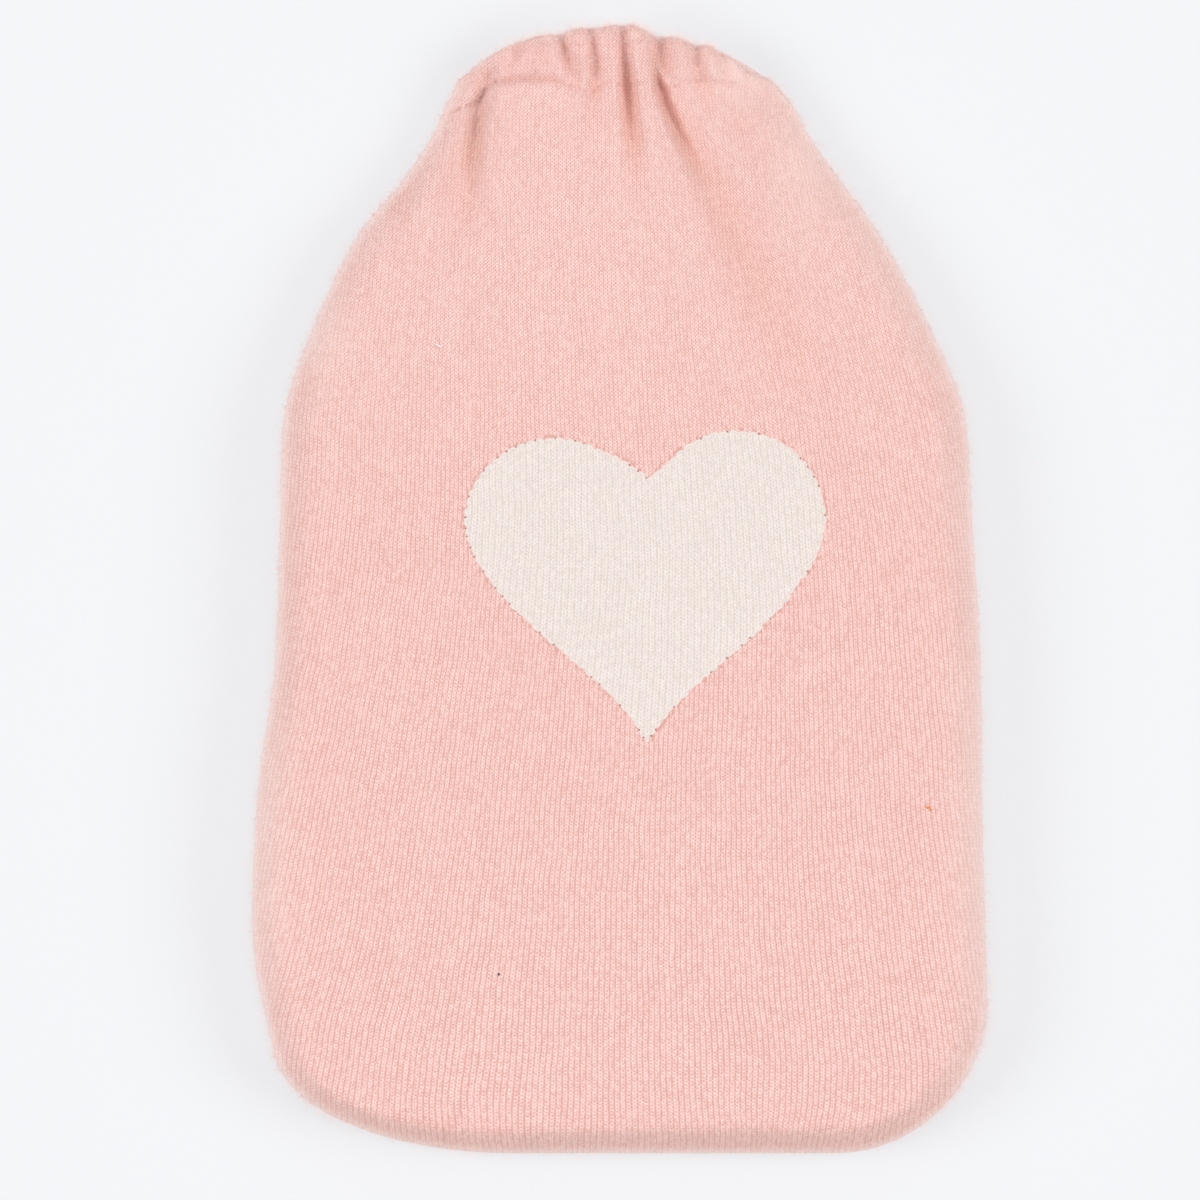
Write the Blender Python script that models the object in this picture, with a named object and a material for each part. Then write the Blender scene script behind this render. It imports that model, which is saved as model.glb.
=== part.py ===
"""Knitted hot water bottle cover, lying on its back with its gathered mouth at +Y.

Two knitted panels, linked edge to edge along both sides and the bottom, make a flat pouch
that is filled out to the shape of the bottle. The front panel has a domed face that turns
down in a rounded wall to the seam; the back panel lies flat and turns up to meet it. At the
mouth each panel is turned in once as a thick hem and drawn together in uneven gathers.
Metres, +Z up; the origin is on the floor, under the middle of the cover.
"""
import math
from collections import namedtuple

import bpy
import numpy as np

MM = 0.001

# Driving sizes, in millimetres
LENGTH = 340.0            # from the bottom edge to the top of the hem
CLOTH = 2.2               # thickness of the knitted cloth
HEM_CLOTH = 4.4           # thickness of the turned hem
HEM_DEPTH = 0.055         # share of the panel's rows that the hem takes, counted from the rim
SEAM_HEIGHT = 7.5         # height of the linked seam above the floor
SEAM_GAP = 0.3            # gap between the two panels' edges at the seam
BOTTOM_EDGE = 10.0        # how far in from the bottom edge the face turns down
BACK_EDGE = 7.5           # how far in from the outline the back panel turns up
FACE_DROP = 2.5           # fall of the face from its middle to its rounded edges
HEM_BULGE = 1.3           # how far the hem stands out above its stitch line
HEM_START = 0.25          # share of the hem over which it reaches its full thickness
HEM_END = 9.0             # distance from the seam over which the hem does so at its ends
STITCH_DIP = 0.9          # depth of the groove at the hem's stitch line
GROOVE_SHARE = 0.14       # half width of that groove, as a share of the hem
RIM_ROUND = 1.1           # rounding of the hem's folded edge
FOLD_INSIDE = 0.9         # share of a fold's depth that shows inside the single cloth
HEM_FOLD_INSIDE = 0.6     # and inside the hem, which is gathered less on its inner side
RIM_DIP = 0.4             # how far the rim dips at a fold, as a share of its depth
SQUARENESS = 2.3          # exponent of the side wall's rounding; 2 is a true ellipse
SLOPE_SHARE = 0.8         # share of the bottom edge that is a straight, sloping wall
CREASE_SHARPNESS = 8.0    # exponent of the crease at the top of that wall
FOLD_MARGIN = 4.0         # folds fade out this close to the seam
LEFT_ARCH = 2.6           # exponent of the rim's arch on its left; a higher one is squarer
RIGHT_ARCH = 1.9          # and on its right

# Rounded bottom corners: how far each reaches across and up
Corner = namedtuple("Corner", "side across up")
CORNERS = (
    Corner(-1, 60.0, 29.0),
    Corner(1, 48.0, 45.0),
)

# Sections across the cover. row: place in the panel's rows, 0 at the bottom, 1 at the rim;
# up: distance from the bottom edge at the sides; arch: how much further the middle reaches;
# left, right: half widths; height: top of the face; edge: width of the rounded side wall
Section = namedtuple("Section", "row up arch left right height edge")
SECTIONS = (
    Section(0.00, 0.0, 0.0, 102.0, 111.0, 25.0, 10.0),
    Section(0.08, 24.0, 0.0, 103.2, 110.8, 27.5, 10.5),
    Section(0.20, 66.0, 0.0, 110.6, 110.2, 30.0, 11.0),
    Section(0.30, 112.0, 0.0, 108.8, 109.0, 31.0, 11.5),
    Section(0.38, 143.0, 0.0, 104.4, 108.8, 31.0, 11.5),
    Section(0.49, 190.0, 0.0, 102.4, 106.2, 30.5, 12.0),
    Section(0.57, 224.0, 0.0, 100.8, 103.4, 29.0, 12.5),
    Section(0.64, 248.0, 0.5, 92.6, 93.6, 27.0, 13.5),
    Section(0.73, 276.0, 2.0, 79.2, 78.6, 24.5, 15.0),
    Section(0.81, 293.5, 4.0, 65.0, 66.0, 22.0, 16.5),
    Section(0.88, 306.0, 6.5, 56.8, 57.2, 20.2, 17.5),
    Section(0.94, 315.0, 8.5, 53.2, 52.6, 18.6, 18.0),
    Section(1.00, 323.5, 16.5, 49.4, 45.2, 17.6, 17.0),
)

# Folds as soft troughs on a curve through a top, a bend and a foot; x is across, up is from
# the bottom edge; width is the trough's half width at its top, spread that at its foot
Fold = namedtuple(
    "Fold", "name top_x top_up bend_x bend_up foot_x foot_up width spread depth"
)
FRONT_FOLDS = (
    Fold("left_fold", -40.5, 330.0, -44.0, 316.0, -47.5, 268.0, 3.0, 8.0, 3.2),
    Fold("left_gather", -18.5, 341.0, -16.0, 332.0, -11.5, 317.0, 2.2, 3.0, 2.0),
    Fold("pucker", -9.4, 341.0, -5.4, 328.0, -9.2, 308.0, 2.4, 4.0, 2.2),
    Fold("middle_gather", 0.3, 342.0, 2.2, 320.0, 6.0, 286.0, 2.6, 5.0, 4.4),
    Fold("long_gather", 10.0, 342.0, 18.7, 306.0, 66.3, 210.0, 2.8, 13.0, 4.4),
    Fold("right_gather", 22.4, 341.0, 23.8, 326.0, 27.0, 305.0, 2.6, 5.0, 2.2),
    Fold("left_notch", -62.5, 297.0, -66.0, 289.0, -67.5, 277.0, 3.0, 4.0, 1.8),
    Fold("left_shoulder", -101.0, 227.0, -92.0, 231.0, -80.0, 238.0, 4.0, 5.0, 1.0),
    Fold("right_shoulder", 103.0, 226.0, 96.0, 229.0, 86.0, 233.0, 4.0, 5.0, 0.8),
)
BACK_FOLDS = (
    Fold("back_left", -33.0, 338.0, -34.0, 318.0, -38.0, 290.0, 3.0, 6.0, 1.4),
    Fold("back_inner_left", -14.0, 342.0, -13.0, 322.0, -12.0, 296.0, 3.0, 6.0, 1.6),
    Fold("back_middle", 6.0, 342.0, 7.0, 320.0, 10.0, 285.0, 3.0, 7.0, 1.6),
    Fold("back_right", 29.0, 340.0, 31.0, 318.0, 37.0, 292.0, 3.0, 6.0, 1.4),
)

# Mesh steps of both panels, which share their edge points
Steps = namedtuple("Steps", "wall face bottom body shoulder neck hem")
STEPS = Steps(4, 36, 5, 13, 9, 9, 7)
WALL_ROW = 0.04           # row where the bottom wall ends
SHOULDER_ROW = 0.57       # row where the shoulders start
NECK_ROW = 0.81           # row where the gathered neck starts
CROWDING = 1.35           # exponent that sets the body's rows closer at the bottom corners
FOLD_SAMPLES = 81         # points along a fold's curve

PINK = (0.90, 0.60, 0.54, 1.0)
DUSTY_PINK = (0.86, 0.57, 0.51, 1.0)
WOOL_ROUGHNESS = 0.95


def section_values(column, row):
    """Smooth value of one column of SECTIONS at each row: cubic pieces through the table,
    each with the slopes of its neighbours' chords."""
    knots = np.array([section.row for section in SECTIONS])
    values = np.array([getattr(section, column) for section in SECTIONS])
    slopes = np.gradient(values, knots)
    row = np.asarray(row, dtype=float)
    piece = np.clip(np.searchsorted(knots, row, side="right") - 1, 0, len(knots) - 2)
    span = knots[piece + 1] - knots[piece]
    t = (row - knots[piece]) / span
    start_value = (1 + 2 * t) * (1 - t) ** 2 * values[piece]
    end_value = t ** 2 * (3 - 2 * t) * values[piece + 1]
    start_slope = t * (1 - t) ** 2 * span * slopes[piece]
    end_slope = t ** 2 * (t - 1) * span * slopes[piece + 1]
    return start_value + end_value + start_slope + end_slope


def smoothstep(t):
    """0 below 0, 1 above 1, and a soft step between."""
    t = np.clip(t, 0.0, 1.0)
    return t * t * (3.0 - 2.0 * t)


def quarter_turn(count):
    """Insets of a rounded edge, from 0 to 1, at even steps of its turn."""
    return 1.0 - np.cos(np.linspace(0.0, math.pi / 2, count + 1))


def across_shares():
    """Columns of a panel as three shares: of the left wall, the face and the right wall."""
    turn = quarter_turn(STEPS.wall)
    face = np.linspace(0.0, 1.0, STEPS.face + 1)
    left = np.concatenate([turn, np.ones(STEPS.face + STEPS.wall)])
    middle = np.concatenate([np.zeros(STEPS.wall), face, np.ones(STEPS.wall)])
    right = np.concatenate([np.zeros(STEPS.wall + STEPS.face), 1.0 - turn[::-1]])
    return left, middle, right


def row_places():
    """Rows of a panel from the bottom edge to the rim."""
    bottom = WALL_ROW * quarter_turn(STEPS.bottom)
    crowded = np.linspace(0.0, 1.0, STEPS.body + 1) ** CROWDING
    body = WALL_ROW + (SHOULDER_ROW - WALL_ROW) * crowded
    shoulder = np.linspace(SHOULDER_ROW, NECK_ROW, STEPS.shoulder + 1)
    hem_row = 1.0 - HEM_DEPTH
    neck = np.linspace(NECK_ROW, hem_row, STEPS.neck + 1)
    hem = hem_row + HEM_DEPTH * np.sin(np.linspace(0.0, math.pi / 2, STEPS.hem + 1))
    return np.concatenate([bottom, body[1:], shoulder[1:], neck[1:], hem[1:]])


def round_corner(x, up, left, right, corner):
    """Square corner of the grid drawn in to a quarter of an ellipse."""
    edge = left if corner.side < 0 else right
    outward = corner.side * x
    a = np.clip(1.0 - (edge - outward) / corner.across, 0.0, 1.0)
    b = np.clip(1.0 - up / corner.up, 0.0, 1.0)
    drawn_a = a * np.sqrt(1.0 - b * b / 2)
    drawn_b = b * np.sqrt(1.0 - a * a / 2)
    inside = (a > 0) & (b > 0)
    new_x = corner.side * (edge - corner.across * (1.0 - drawn_a))
    new_up = corner.up * (1.0 - drawn_b)
    return np.where(inside, new_x, x), np.where(inside, new_up, up)


def plan(shares, row):
    """Place of each grid point seen from above: across, and up from the bottom edge."""
    left_share, face_share, right_share = shares
    left = section_values("left", row)
    right = section_values("right", row)
    edge = section_values("edge", row)
    face = left + right - 2 * edge
    x = -left + edge * (left_share + right_share) + face * face_share
    reach = np.where(x < 0, np.abs(x / left) ** LEFT_ARCH, np.abs(x / right) ** RIGHT_ARCH)
    up = section_values("up", row) + section_values("arch", row) * (1.0 - reach)
    for corner in CORNERS:
        x, up = round_corner(x, up, left, right, corner)
    return x, up


def seam_line(x, up):
    """The seam from the left of the mouth, round the bottom, to the right of the mouth."""
    grid = np.stack([x, up], axis=-1)
    return np.concatenate([grid[::-1, 0], grid[0, 1:-1], grid[:, -1]])


def edge_distance(x, up):
    """Distance of each point from the seam's line, with the inward direction there."""
    line = seam_line(x, up)
    start = line[:-1]
    along = line[1:] - start
    length = np.hypot(along[:, 0], along[:, 1])
    inward = np.stack([-along[:, 1], along[:, 0]], axis=1) / length[:, None]
    corner_inward = np.concatenate([inward[:1], inward[:-1] + inward[1:], inward[-1:]])
    corner_inward /= np.linalg.norm(corner_inward, axis=1)[:, None]
    point = np.stack([x.ravel(), up.ravel()], axis=1)
    offset = point[:, None, :] - start[None]
    share = np.clip((offset * along[None]).sum(2) / length[None] ** 2, 0.0, 1.0)
    away = offset - share[:, :, None] * along[None]
    distance = np.hypot(away[:, :, 0], away[:, :, 1])
    nearest = distance.argmin(1)
    pick = np.arange(len(point))
    share = share[pick, nearest][:, None]
    direction = (1 - share) * corner_inward[nearest] + share * corner_inward[nearest + 1]
    direction /= np.linalg.norm(direction, axis=1)[:, None]
    shape = x.shape
    return distance[pick, nearest].reshape(shape), direction.reshape(shape + (2,))


def fold_depth(x, up, folds):
    """Depth of the folds at each point: each is a bell-shaped trough that fades and widens
    from its top to its foot."""
    total = np.zeros_like(x)
    t = np.linspace(0.0, 1.0, FOLD_SAMPLES)
    for fold in folds:
        weights = ((1 - t) ** 2, 2 * t * (1 - t), t ** 2)
        line_x = weights[0] * fold.top_x + weights[1] * fold.bend_x + weights[2] * fold.foot_x
        line_up = weights[0] * fold.top_up + weights[1] * fold.bend_up + weights[2] * fold.foot_up
        away = np.hypot(x[..., None] - line_x, up[..., None] - line_up)
        nearest = away.argmin(-1)
        place = t[nearest]
        width = fold.width + (fold.spread - fold.width) * place
        fade = 1.0 - smoothstep(place) ** 1.5
        bell = np.exp(-(away.min(-1) / width) ** 2)
        total = np.maximum(total, fold.depth * fade * bell)
    return total


def hem_place(row):
    """0 at the hem's stitch line and below it, and 1 at the rim."""
    return np.clip((row - (1.0 - HEM_DEPTH)) / HEM_DEPTH, 0.0, 1.0)


def hem_share(row):
    """0 below the hem's stitch line and 1 in the hem."""
    return smoothstep(hem_place(row) / HEM_START)


def hem_profile(row):
    """How far the hem stands out: a groove at the stitch line, then a full, rounded band."""
    from_stitches = (row - (1.0 - HEM_DEPTH)) / (GROOVE_SHARE * HEM_DEPTH)
    groove = -STITCH_DIP * np.exp(-from_stitches ** 2)
    return groove + HEM_BULGE * np.sqrt(np.sin(math.pi * hem_place(row)).clip(0.0))


def side_turn(t):
    """Share of its full rise that the rounded side wall has at a share t of its width."""
    return (1.0 - (1.0 - t) ** SQUARENESS) ** (1.0 / SQUARENESS)


def bottom_turn(t):
    """The same for the bottom: a straight slope that a crease joins to the level face."""
    slope = np.maximum(t, 1e-6) / SLOPE_SHARE
    full = 1.0 / (SLOPE_SHARE ** CREASE_SHARPNESS + 1.0) ** (1.0 / CREASE_SHARPNESS)
    return (slope ** -CREASE_SHARPNESS + 1.0) ** (-1.0 / CREASE_SHARPNESS) / full


def panel_grid(folds):
    """Plan, edge distance and folds on one panel's grid, as a dictionary of arrays."""
    row = row_places()[:, None] + np.zeros(STEPS.face + 2 * STEPS.wall + 1)
    shares = [share[None, :] + np.zeros_like(row) for share in across_shares()]
    x, up = plan(shares, row)
    distance, inward = edge_distance(x, up)
    folded = fold_depth(x, up, folds) * smoothstep(distance / FOLD_MARGIN)
    up = up - RIM_DIP * folded * hem_place(row)
    hem = hem_share(row) * smoothstep(distance / HEM_END)
    thick = CLOTH + (HEM_CLOTH - CLOTH) * hem
    inner_fold = folded * (FOLD_INSIDE + (HEM_FOLD_INSIDE - FOLD_INSIDE) * hem)
    rim = np.where(row > 0.999, RIM_ROUND, 0.0)
    return {
        "row": row, "x": x, "up": up, "distance": distance, "inward": inward,
        "fold": folded, "inner_fold": inner_fold, "thick": thick, "rim": rim,
    }


def front_surfaces():
    """Outer and inner surface of the front panel, as two grids of points."""
    grid = panel_grid(FRONT_FOLDS)
    row, x, distance = grid["row"], grid["x"], grid["distance"]
    end_on = np.clip(grid["inward"][..., 1], 0.0, 1.0) ** 2
    edge = section_values("edge", row) * (1.0 - end_on) + BOTTOM_EDGE * end_on
    t = np.clip(distance / edge, 0.0, 1.0)
    turn = side_turn(t) * (1.0 - end_on) + bottom_turn(t) * end_on
    reach = np.where(x < 0, x / section_values("left", row), x / section_values("right", row))
    seam = SEAM_HEIGHT + SEAM_GAP / 2
    crown = section_values("height", row) - FACE_DROP * reach ** 2 + hem_profile(row)
    upright = np.sqrt(1.0 - (1.0 - t) ** 2)
    height = seam + (crown - seam) * turn
    outer_z = height - grid["fold"] * upright - grid["rim"] * upright
    inner_z = height - (grid["thick"] + grid["inner_fold"]) * upright
    inner_z = inner_z + grid["rim"] * upright
    outer = np.stack([x, grid["up"], outer_z], axis=-1)
    inner_plan = outer[..., :2] + grid["inward"] * (grid["thick"] * (1.0 - t))[..., None]
    inner = np.concatenate([inner_plan, inner_z[..., None]], axis=-1)
    return outer, inner


def back_surfaces():
    """Outer and inner surface of the back panel, as two grids of points."""
    grid = panel_grid(BACK_FOLDS)
    seam = SEAM_HEIGHT - SEAM_GAP / 2
    sideways = np.clip(1.0 - grid["distance"] / BACK_EDGE, 0.0, 1.0)
    upright = np.sqrt(1.0 - sideways ** 2)
    rise = seam * (1.0 - upright)
    outer_z = rise + (grid["fold"] + grid["rim"]) * upright
    inner_z = rise + (grid["thick"] + grid["inner_fold"] - grid["rim"]) * upright
    outer = np.stack([grid["x"], grid["up"], outer_z], axis=-1)
    inner_plan = outer[..., :2] + grid["inward"] * (grid["thick"] * sideways)[..., None]
    inner = np.concatenate([inner_plan, inner_z[..., None]], axis=-1)
    return outer, inner


def grid_faces(rows, columns, first, flip):
    """Four-sided faces of a grid whose points are numbered row by row from first."""
    i = np.arange(rows - 1)[:, None] * columns + np.arange(columns - 1)[None, :] + first
    quads = np.stack([i, i + 1, i + columns + 1, i + columns], axis=-1).reshape(-1, 4)
    return quads[:, ::-1] if flip else quads


def rim_faces(rows, columns, flip):
    """Faces that close the shell along the four sides of its two grids."""
    index = np.arange(rows * columns).reshape(rows, columns)
    loop = np.concatenate([
        index[0, :], index[1:, -1], index[-1, -2::-1], index[-2:0:-1, 0],
    ])
    after = np.roll(loop, -1)
    below = rows * columns
    quads = np.stack([after, loop, loop + below, after + below], axis=-1)
    return quads[:, ::-1] if flip else quads


def make_material(name, color):
    """Soft, dull wool."""
    material = bpy.data.materials.new(name)
    material.use_nodes = True
    shader = material.node_tree.nodes["Principled BSDF"]
    shader.inputs["Base Color"].default_value = color
    shader.inputs["Roughness"].default_value = WOOL_ROUGHNESS
    shader.inputs["Metallic"].default_value = 0.0
    material.diffuse_color = color
    return material


def make_shell(name, surfaces, flip, material, collection):
    """One closed panel from its outer and inner grid of points, in millimetres."""
    outer, inner = surfaces
    rows, columns = outer.shape[:2]
    points = np.concatenate([outer.reshape(-1, 3), inner.reshape(-1, 3)])
    points = (points - np.array([0.0, LENGTH / 2, 0.0])) * MM
    faces = np.concatenate([
        grid_faces(rows, columns, 0, flip),
        grid_faces(rows, columns, rows * columns, not flip),
        rim_faces(rows, columns, flip),
    ])
    mesh = bpy.data.meshes.new(name)
    mesh.from_pydata(points.tolist(), [], faces.tolist())
    mesh.validate()
    mesh.shade_smooth()
    mesh.materials.append(material)
    shell = bpy.data.objects.new(name, mesh)
    collection.objects.link(shell)
    return shell


def make_front_panel(collection):
    """Domed front panel with its gathers."""
    material = make_material("pink_knit_front", PINK)
    return make_shell("front_panel", front_surfaces(), False, material, collection)


def make_back_panel(collection):
    """Flat back panel, turned up round its edges."""
    material = make_material("pink_knit_back", DUSTY_PINK)
    return make_shell("back_panel", back_surfaces(), True, material, collection)


def main():
    for old in list(bpy.data.objects):
        bpy.data.objects.remove(old, do_unlink=True)
    collection = bpy.data.collections.new("hot_water_bottle_cover")
    bpy.context.scene.collection.children.link(collection)
    make_front_panel(collection)
    make_back_panel(collection)


main()
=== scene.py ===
"""Knitted hot water bottle cover, lying on its back with its gathered mouth at +Y.

Two knitted panels are linked edge to edge along both sides and the bottom. Each is a thin
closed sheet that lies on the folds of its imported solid, with finer creases, a turned hem and
the knit's own wales and courses. The shapes are worked out in millimetres, across (x) and up
from the bottom edge, and are put into the meshes in metres.
"""
import math
from collections import namedtuple
from functools import lru_cache

import bpy
import numpy as np
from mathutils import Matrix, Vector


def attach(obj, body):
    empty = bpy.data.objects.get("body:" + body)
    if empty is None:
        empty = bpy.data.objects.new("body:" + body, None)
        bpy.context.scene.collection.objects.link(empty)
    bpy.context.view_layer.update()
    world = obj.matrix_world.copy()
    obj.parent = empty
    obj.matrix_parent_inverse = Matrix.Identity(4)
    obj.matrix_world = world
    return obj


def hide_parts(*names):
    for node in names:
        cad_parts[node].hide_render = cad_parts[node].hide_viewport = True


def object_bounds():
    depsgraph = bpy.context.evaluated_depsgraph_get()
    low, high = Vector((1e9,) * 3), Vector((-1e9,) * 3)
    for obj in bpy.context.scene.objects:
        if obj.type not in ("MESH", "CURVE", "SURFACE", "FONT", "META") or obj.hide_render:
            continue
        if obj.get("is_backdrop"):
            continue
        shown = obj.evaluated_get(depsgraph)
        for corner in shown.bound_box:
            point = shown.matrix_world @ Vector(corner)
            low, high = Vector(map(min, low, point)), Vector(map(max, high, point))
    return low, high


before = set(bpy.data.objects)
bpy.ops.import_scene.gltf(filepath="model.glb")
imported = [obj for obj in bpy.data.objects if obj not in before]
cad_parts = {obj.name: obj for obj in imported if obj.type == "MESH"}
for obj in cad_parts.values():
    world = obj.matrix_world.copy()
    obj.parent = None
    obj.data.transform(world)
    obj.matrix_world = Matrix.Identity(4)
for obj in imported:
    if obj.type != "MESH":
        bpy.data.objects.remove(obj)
CAD_LOW, CAD_HIGH = (list(corner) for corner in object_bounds())

bl_info = {
    "name": "Knitted Bottle Cover",
    "version": (1, 0, 0),
    "blender": (4, 5, 0),
    "location": "3D View > Sidebar > Bottle Cover",
    "description": "Dresses a knitted hot water bottle cover over its packed solids",
    "category": "Add Mesh",
}

MM = 0.001
LENGTH = (CAD_HIGH[1] - CAD_LOW[1]) / MM   # from the bottom edge to the top of the hem
SEED = 41
TINY = 1e-9               # least lengths by which anything is divided
SMALL = 1e-6
INSIDE_LAST = 1.001       # a place this far below a grid's length lies in its last cell

# ---------------------------------------------------------------- sizes, in millimetres

SEAM_HEIGHT = 7.5         # height of the linked seam above the floor
SEAM_GAP = 0.06           # gap between the two panels' edges at the seam
BOTTOM_LEFT = 6.2         # how far in from the bottom edge the face turns down, at the left
BOTTOM_RIGHT = 8.4        # and at the right,
BOTTOM_START = -100.0     # with a soft step between that starts here
BOTTOM_SPAN = 120.0       # and is this wide
BACK_EDGE = 7.5           # how far in from the outline the back panel turns up
BACK_GROOVE = 0.5         # depth of its hem's groove, as a share of that in its table
FACE_DROP = 2.5           # fall of the face from its middle to its rounded edges
SQUARENESS = 2.3          # exponent of the side wall's rounding; 2 is a true ellipse
SLOPE_SHARE = 0.8         # share of the bottom edge that is a straight, sloping wall
CREASE_SHARPNESS = 9.0    # exponent of the crease at the top of that wall
FOLD_MARGIN = 4.0         # folds fade out this close to the seam
FOLD_GROWTH = 0.45        # share of its curve over which a fold reaches its full depth
FOLD_FALL = 2.5           # exponent of a fold's fading towards its foot
BANK_PLACE = 1.8          # how far out the cloth beside a fold is highest, in widths,
BANK_WIDTH = 0.9          # and the half width of that bank
FOLD_INSIDE = 0.9         # share of a fold's depth that shows inside the single cloth
HEM_FOLD_INSIDE = 0.6     # and inside the hem
RIM_DIP = 0.5             # how far the rim dips at a fold, as a share of its depth
RIM_ROUND = 2.2           # distance from the rim over which the hem's folded edge rounds off
RIM_FLAT = 0.1            # share of the hem's thickness that is left at its very edge
HEM_BULGE = 1.3           # how far the hem stands out above its stitch line
HEM_START = 2.6           # distance above the stitches where the hem has its full thickness
HEM_END = 9.0             # distance from the seam over which the hem does so at its ends
GROOVE_WIDTH = 1.1        # half width of the groove along the hem's stitches
PUFF_START = 1.6          # distance below the stitches where the cloth has swelled out
PUFF_FADE = 9.0           # distance over which that swelling then fades
RIPPLE = 0.28             # depth of the cloth's slack, slow unevenness in crossed waves,
RIPPLES = (               # two to a pair, by their lengths across and up and their starts
    ((9.7, 31.0, 0.6), (-41.0, 17.0, 1.9)),
    ((17.0, -23.0, 2.2), (15.0, 29.0, 0.4)),
)
SLIP = 1.9                # how far the front's rim has slipped down and bares the back's,
SLIP_X = 39.5             # where,
SLIP_REACH = 6.0          # and over what distance
LEFT_ARCH = 2.6           # exponent of the rim's arch on its left; a higher one is squarer
RIGHT_ARCH = 1.9          # and on its right

# Low places of both rims between the gathers: how deep, and over what distance
Notch = namedtuple("Notch", "x depth reach")
NOTCHES = (
    Notch(-19.0, 1.4, 9.0),
    Notch(-6.0, 0.9, 3.0),
    Notch(10.5, 1.9, 4.5),
    Notch(20.0, 1.6, 6.0),
)

# Rounded bottom corners: how far each reaches across and up
Corner = namedtuple("Corner", "side across up")
CORNERS = (
    Corner(-1, 70.0, 30.0),
    Corner(1, 46.0, 48.0),
)

# Sections across the cover. row: place in the panel's rows, 0 at the bottom, 1 at the rim;
# up: distance from the bottom edge at the sides; arch: how much further the middle reaches;
# left, right: half widths; height: top of the face; edge: width of the rounded side wall
Section = namedtuple("Section", "row up arch left right height edge")
SECTIONS = (
    Section(0.00, 0.0, 0.0, 102.0, 111.0, 25.0, 10.0),
    Section(0.08, 24.0, 0.0, 103.2, 110.8, 27.5, 10.5),
    Section(0.20, 66.0, 0.0, 110.6, 110.2, 30.0, 11.0),
    Section(0.30, 112.0, 0.0, 108.8, 109.0, 31.0, 11.5),
    Section(0.38, 143.0, 0.0, 104.4, 108.8, 31.0, 11.5),
    Section(0.49, 190.0, 0.0, 102.4, 106.2, 30.5, 12.0),
    Section(0.57, 224.0, 0.0, 100.8, 103.4, 29.0, 12.5),
    Section(0.64, 248.0, 0.5, 92.6, 93.6, 27.0, 13.5),
    Section(0.73, 276.0, 2.0, 79.2, 78.6, 24.5, 15.0),
    Section(0.81, 293.5, 4.0, 65.0, 66.0, 22.0, 16.5),
    Section(0.88, 306.0, 6.5, 56.8, 57.2, 20.2, 17.5),
    Section(0.94, 315.0, 8.5, 52.7, 52.6, 18.6, 18.0),
    Section(1.00, 323.5, 16.5, 48.2, 45.2, 17.6, 17.0),
)

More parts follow.
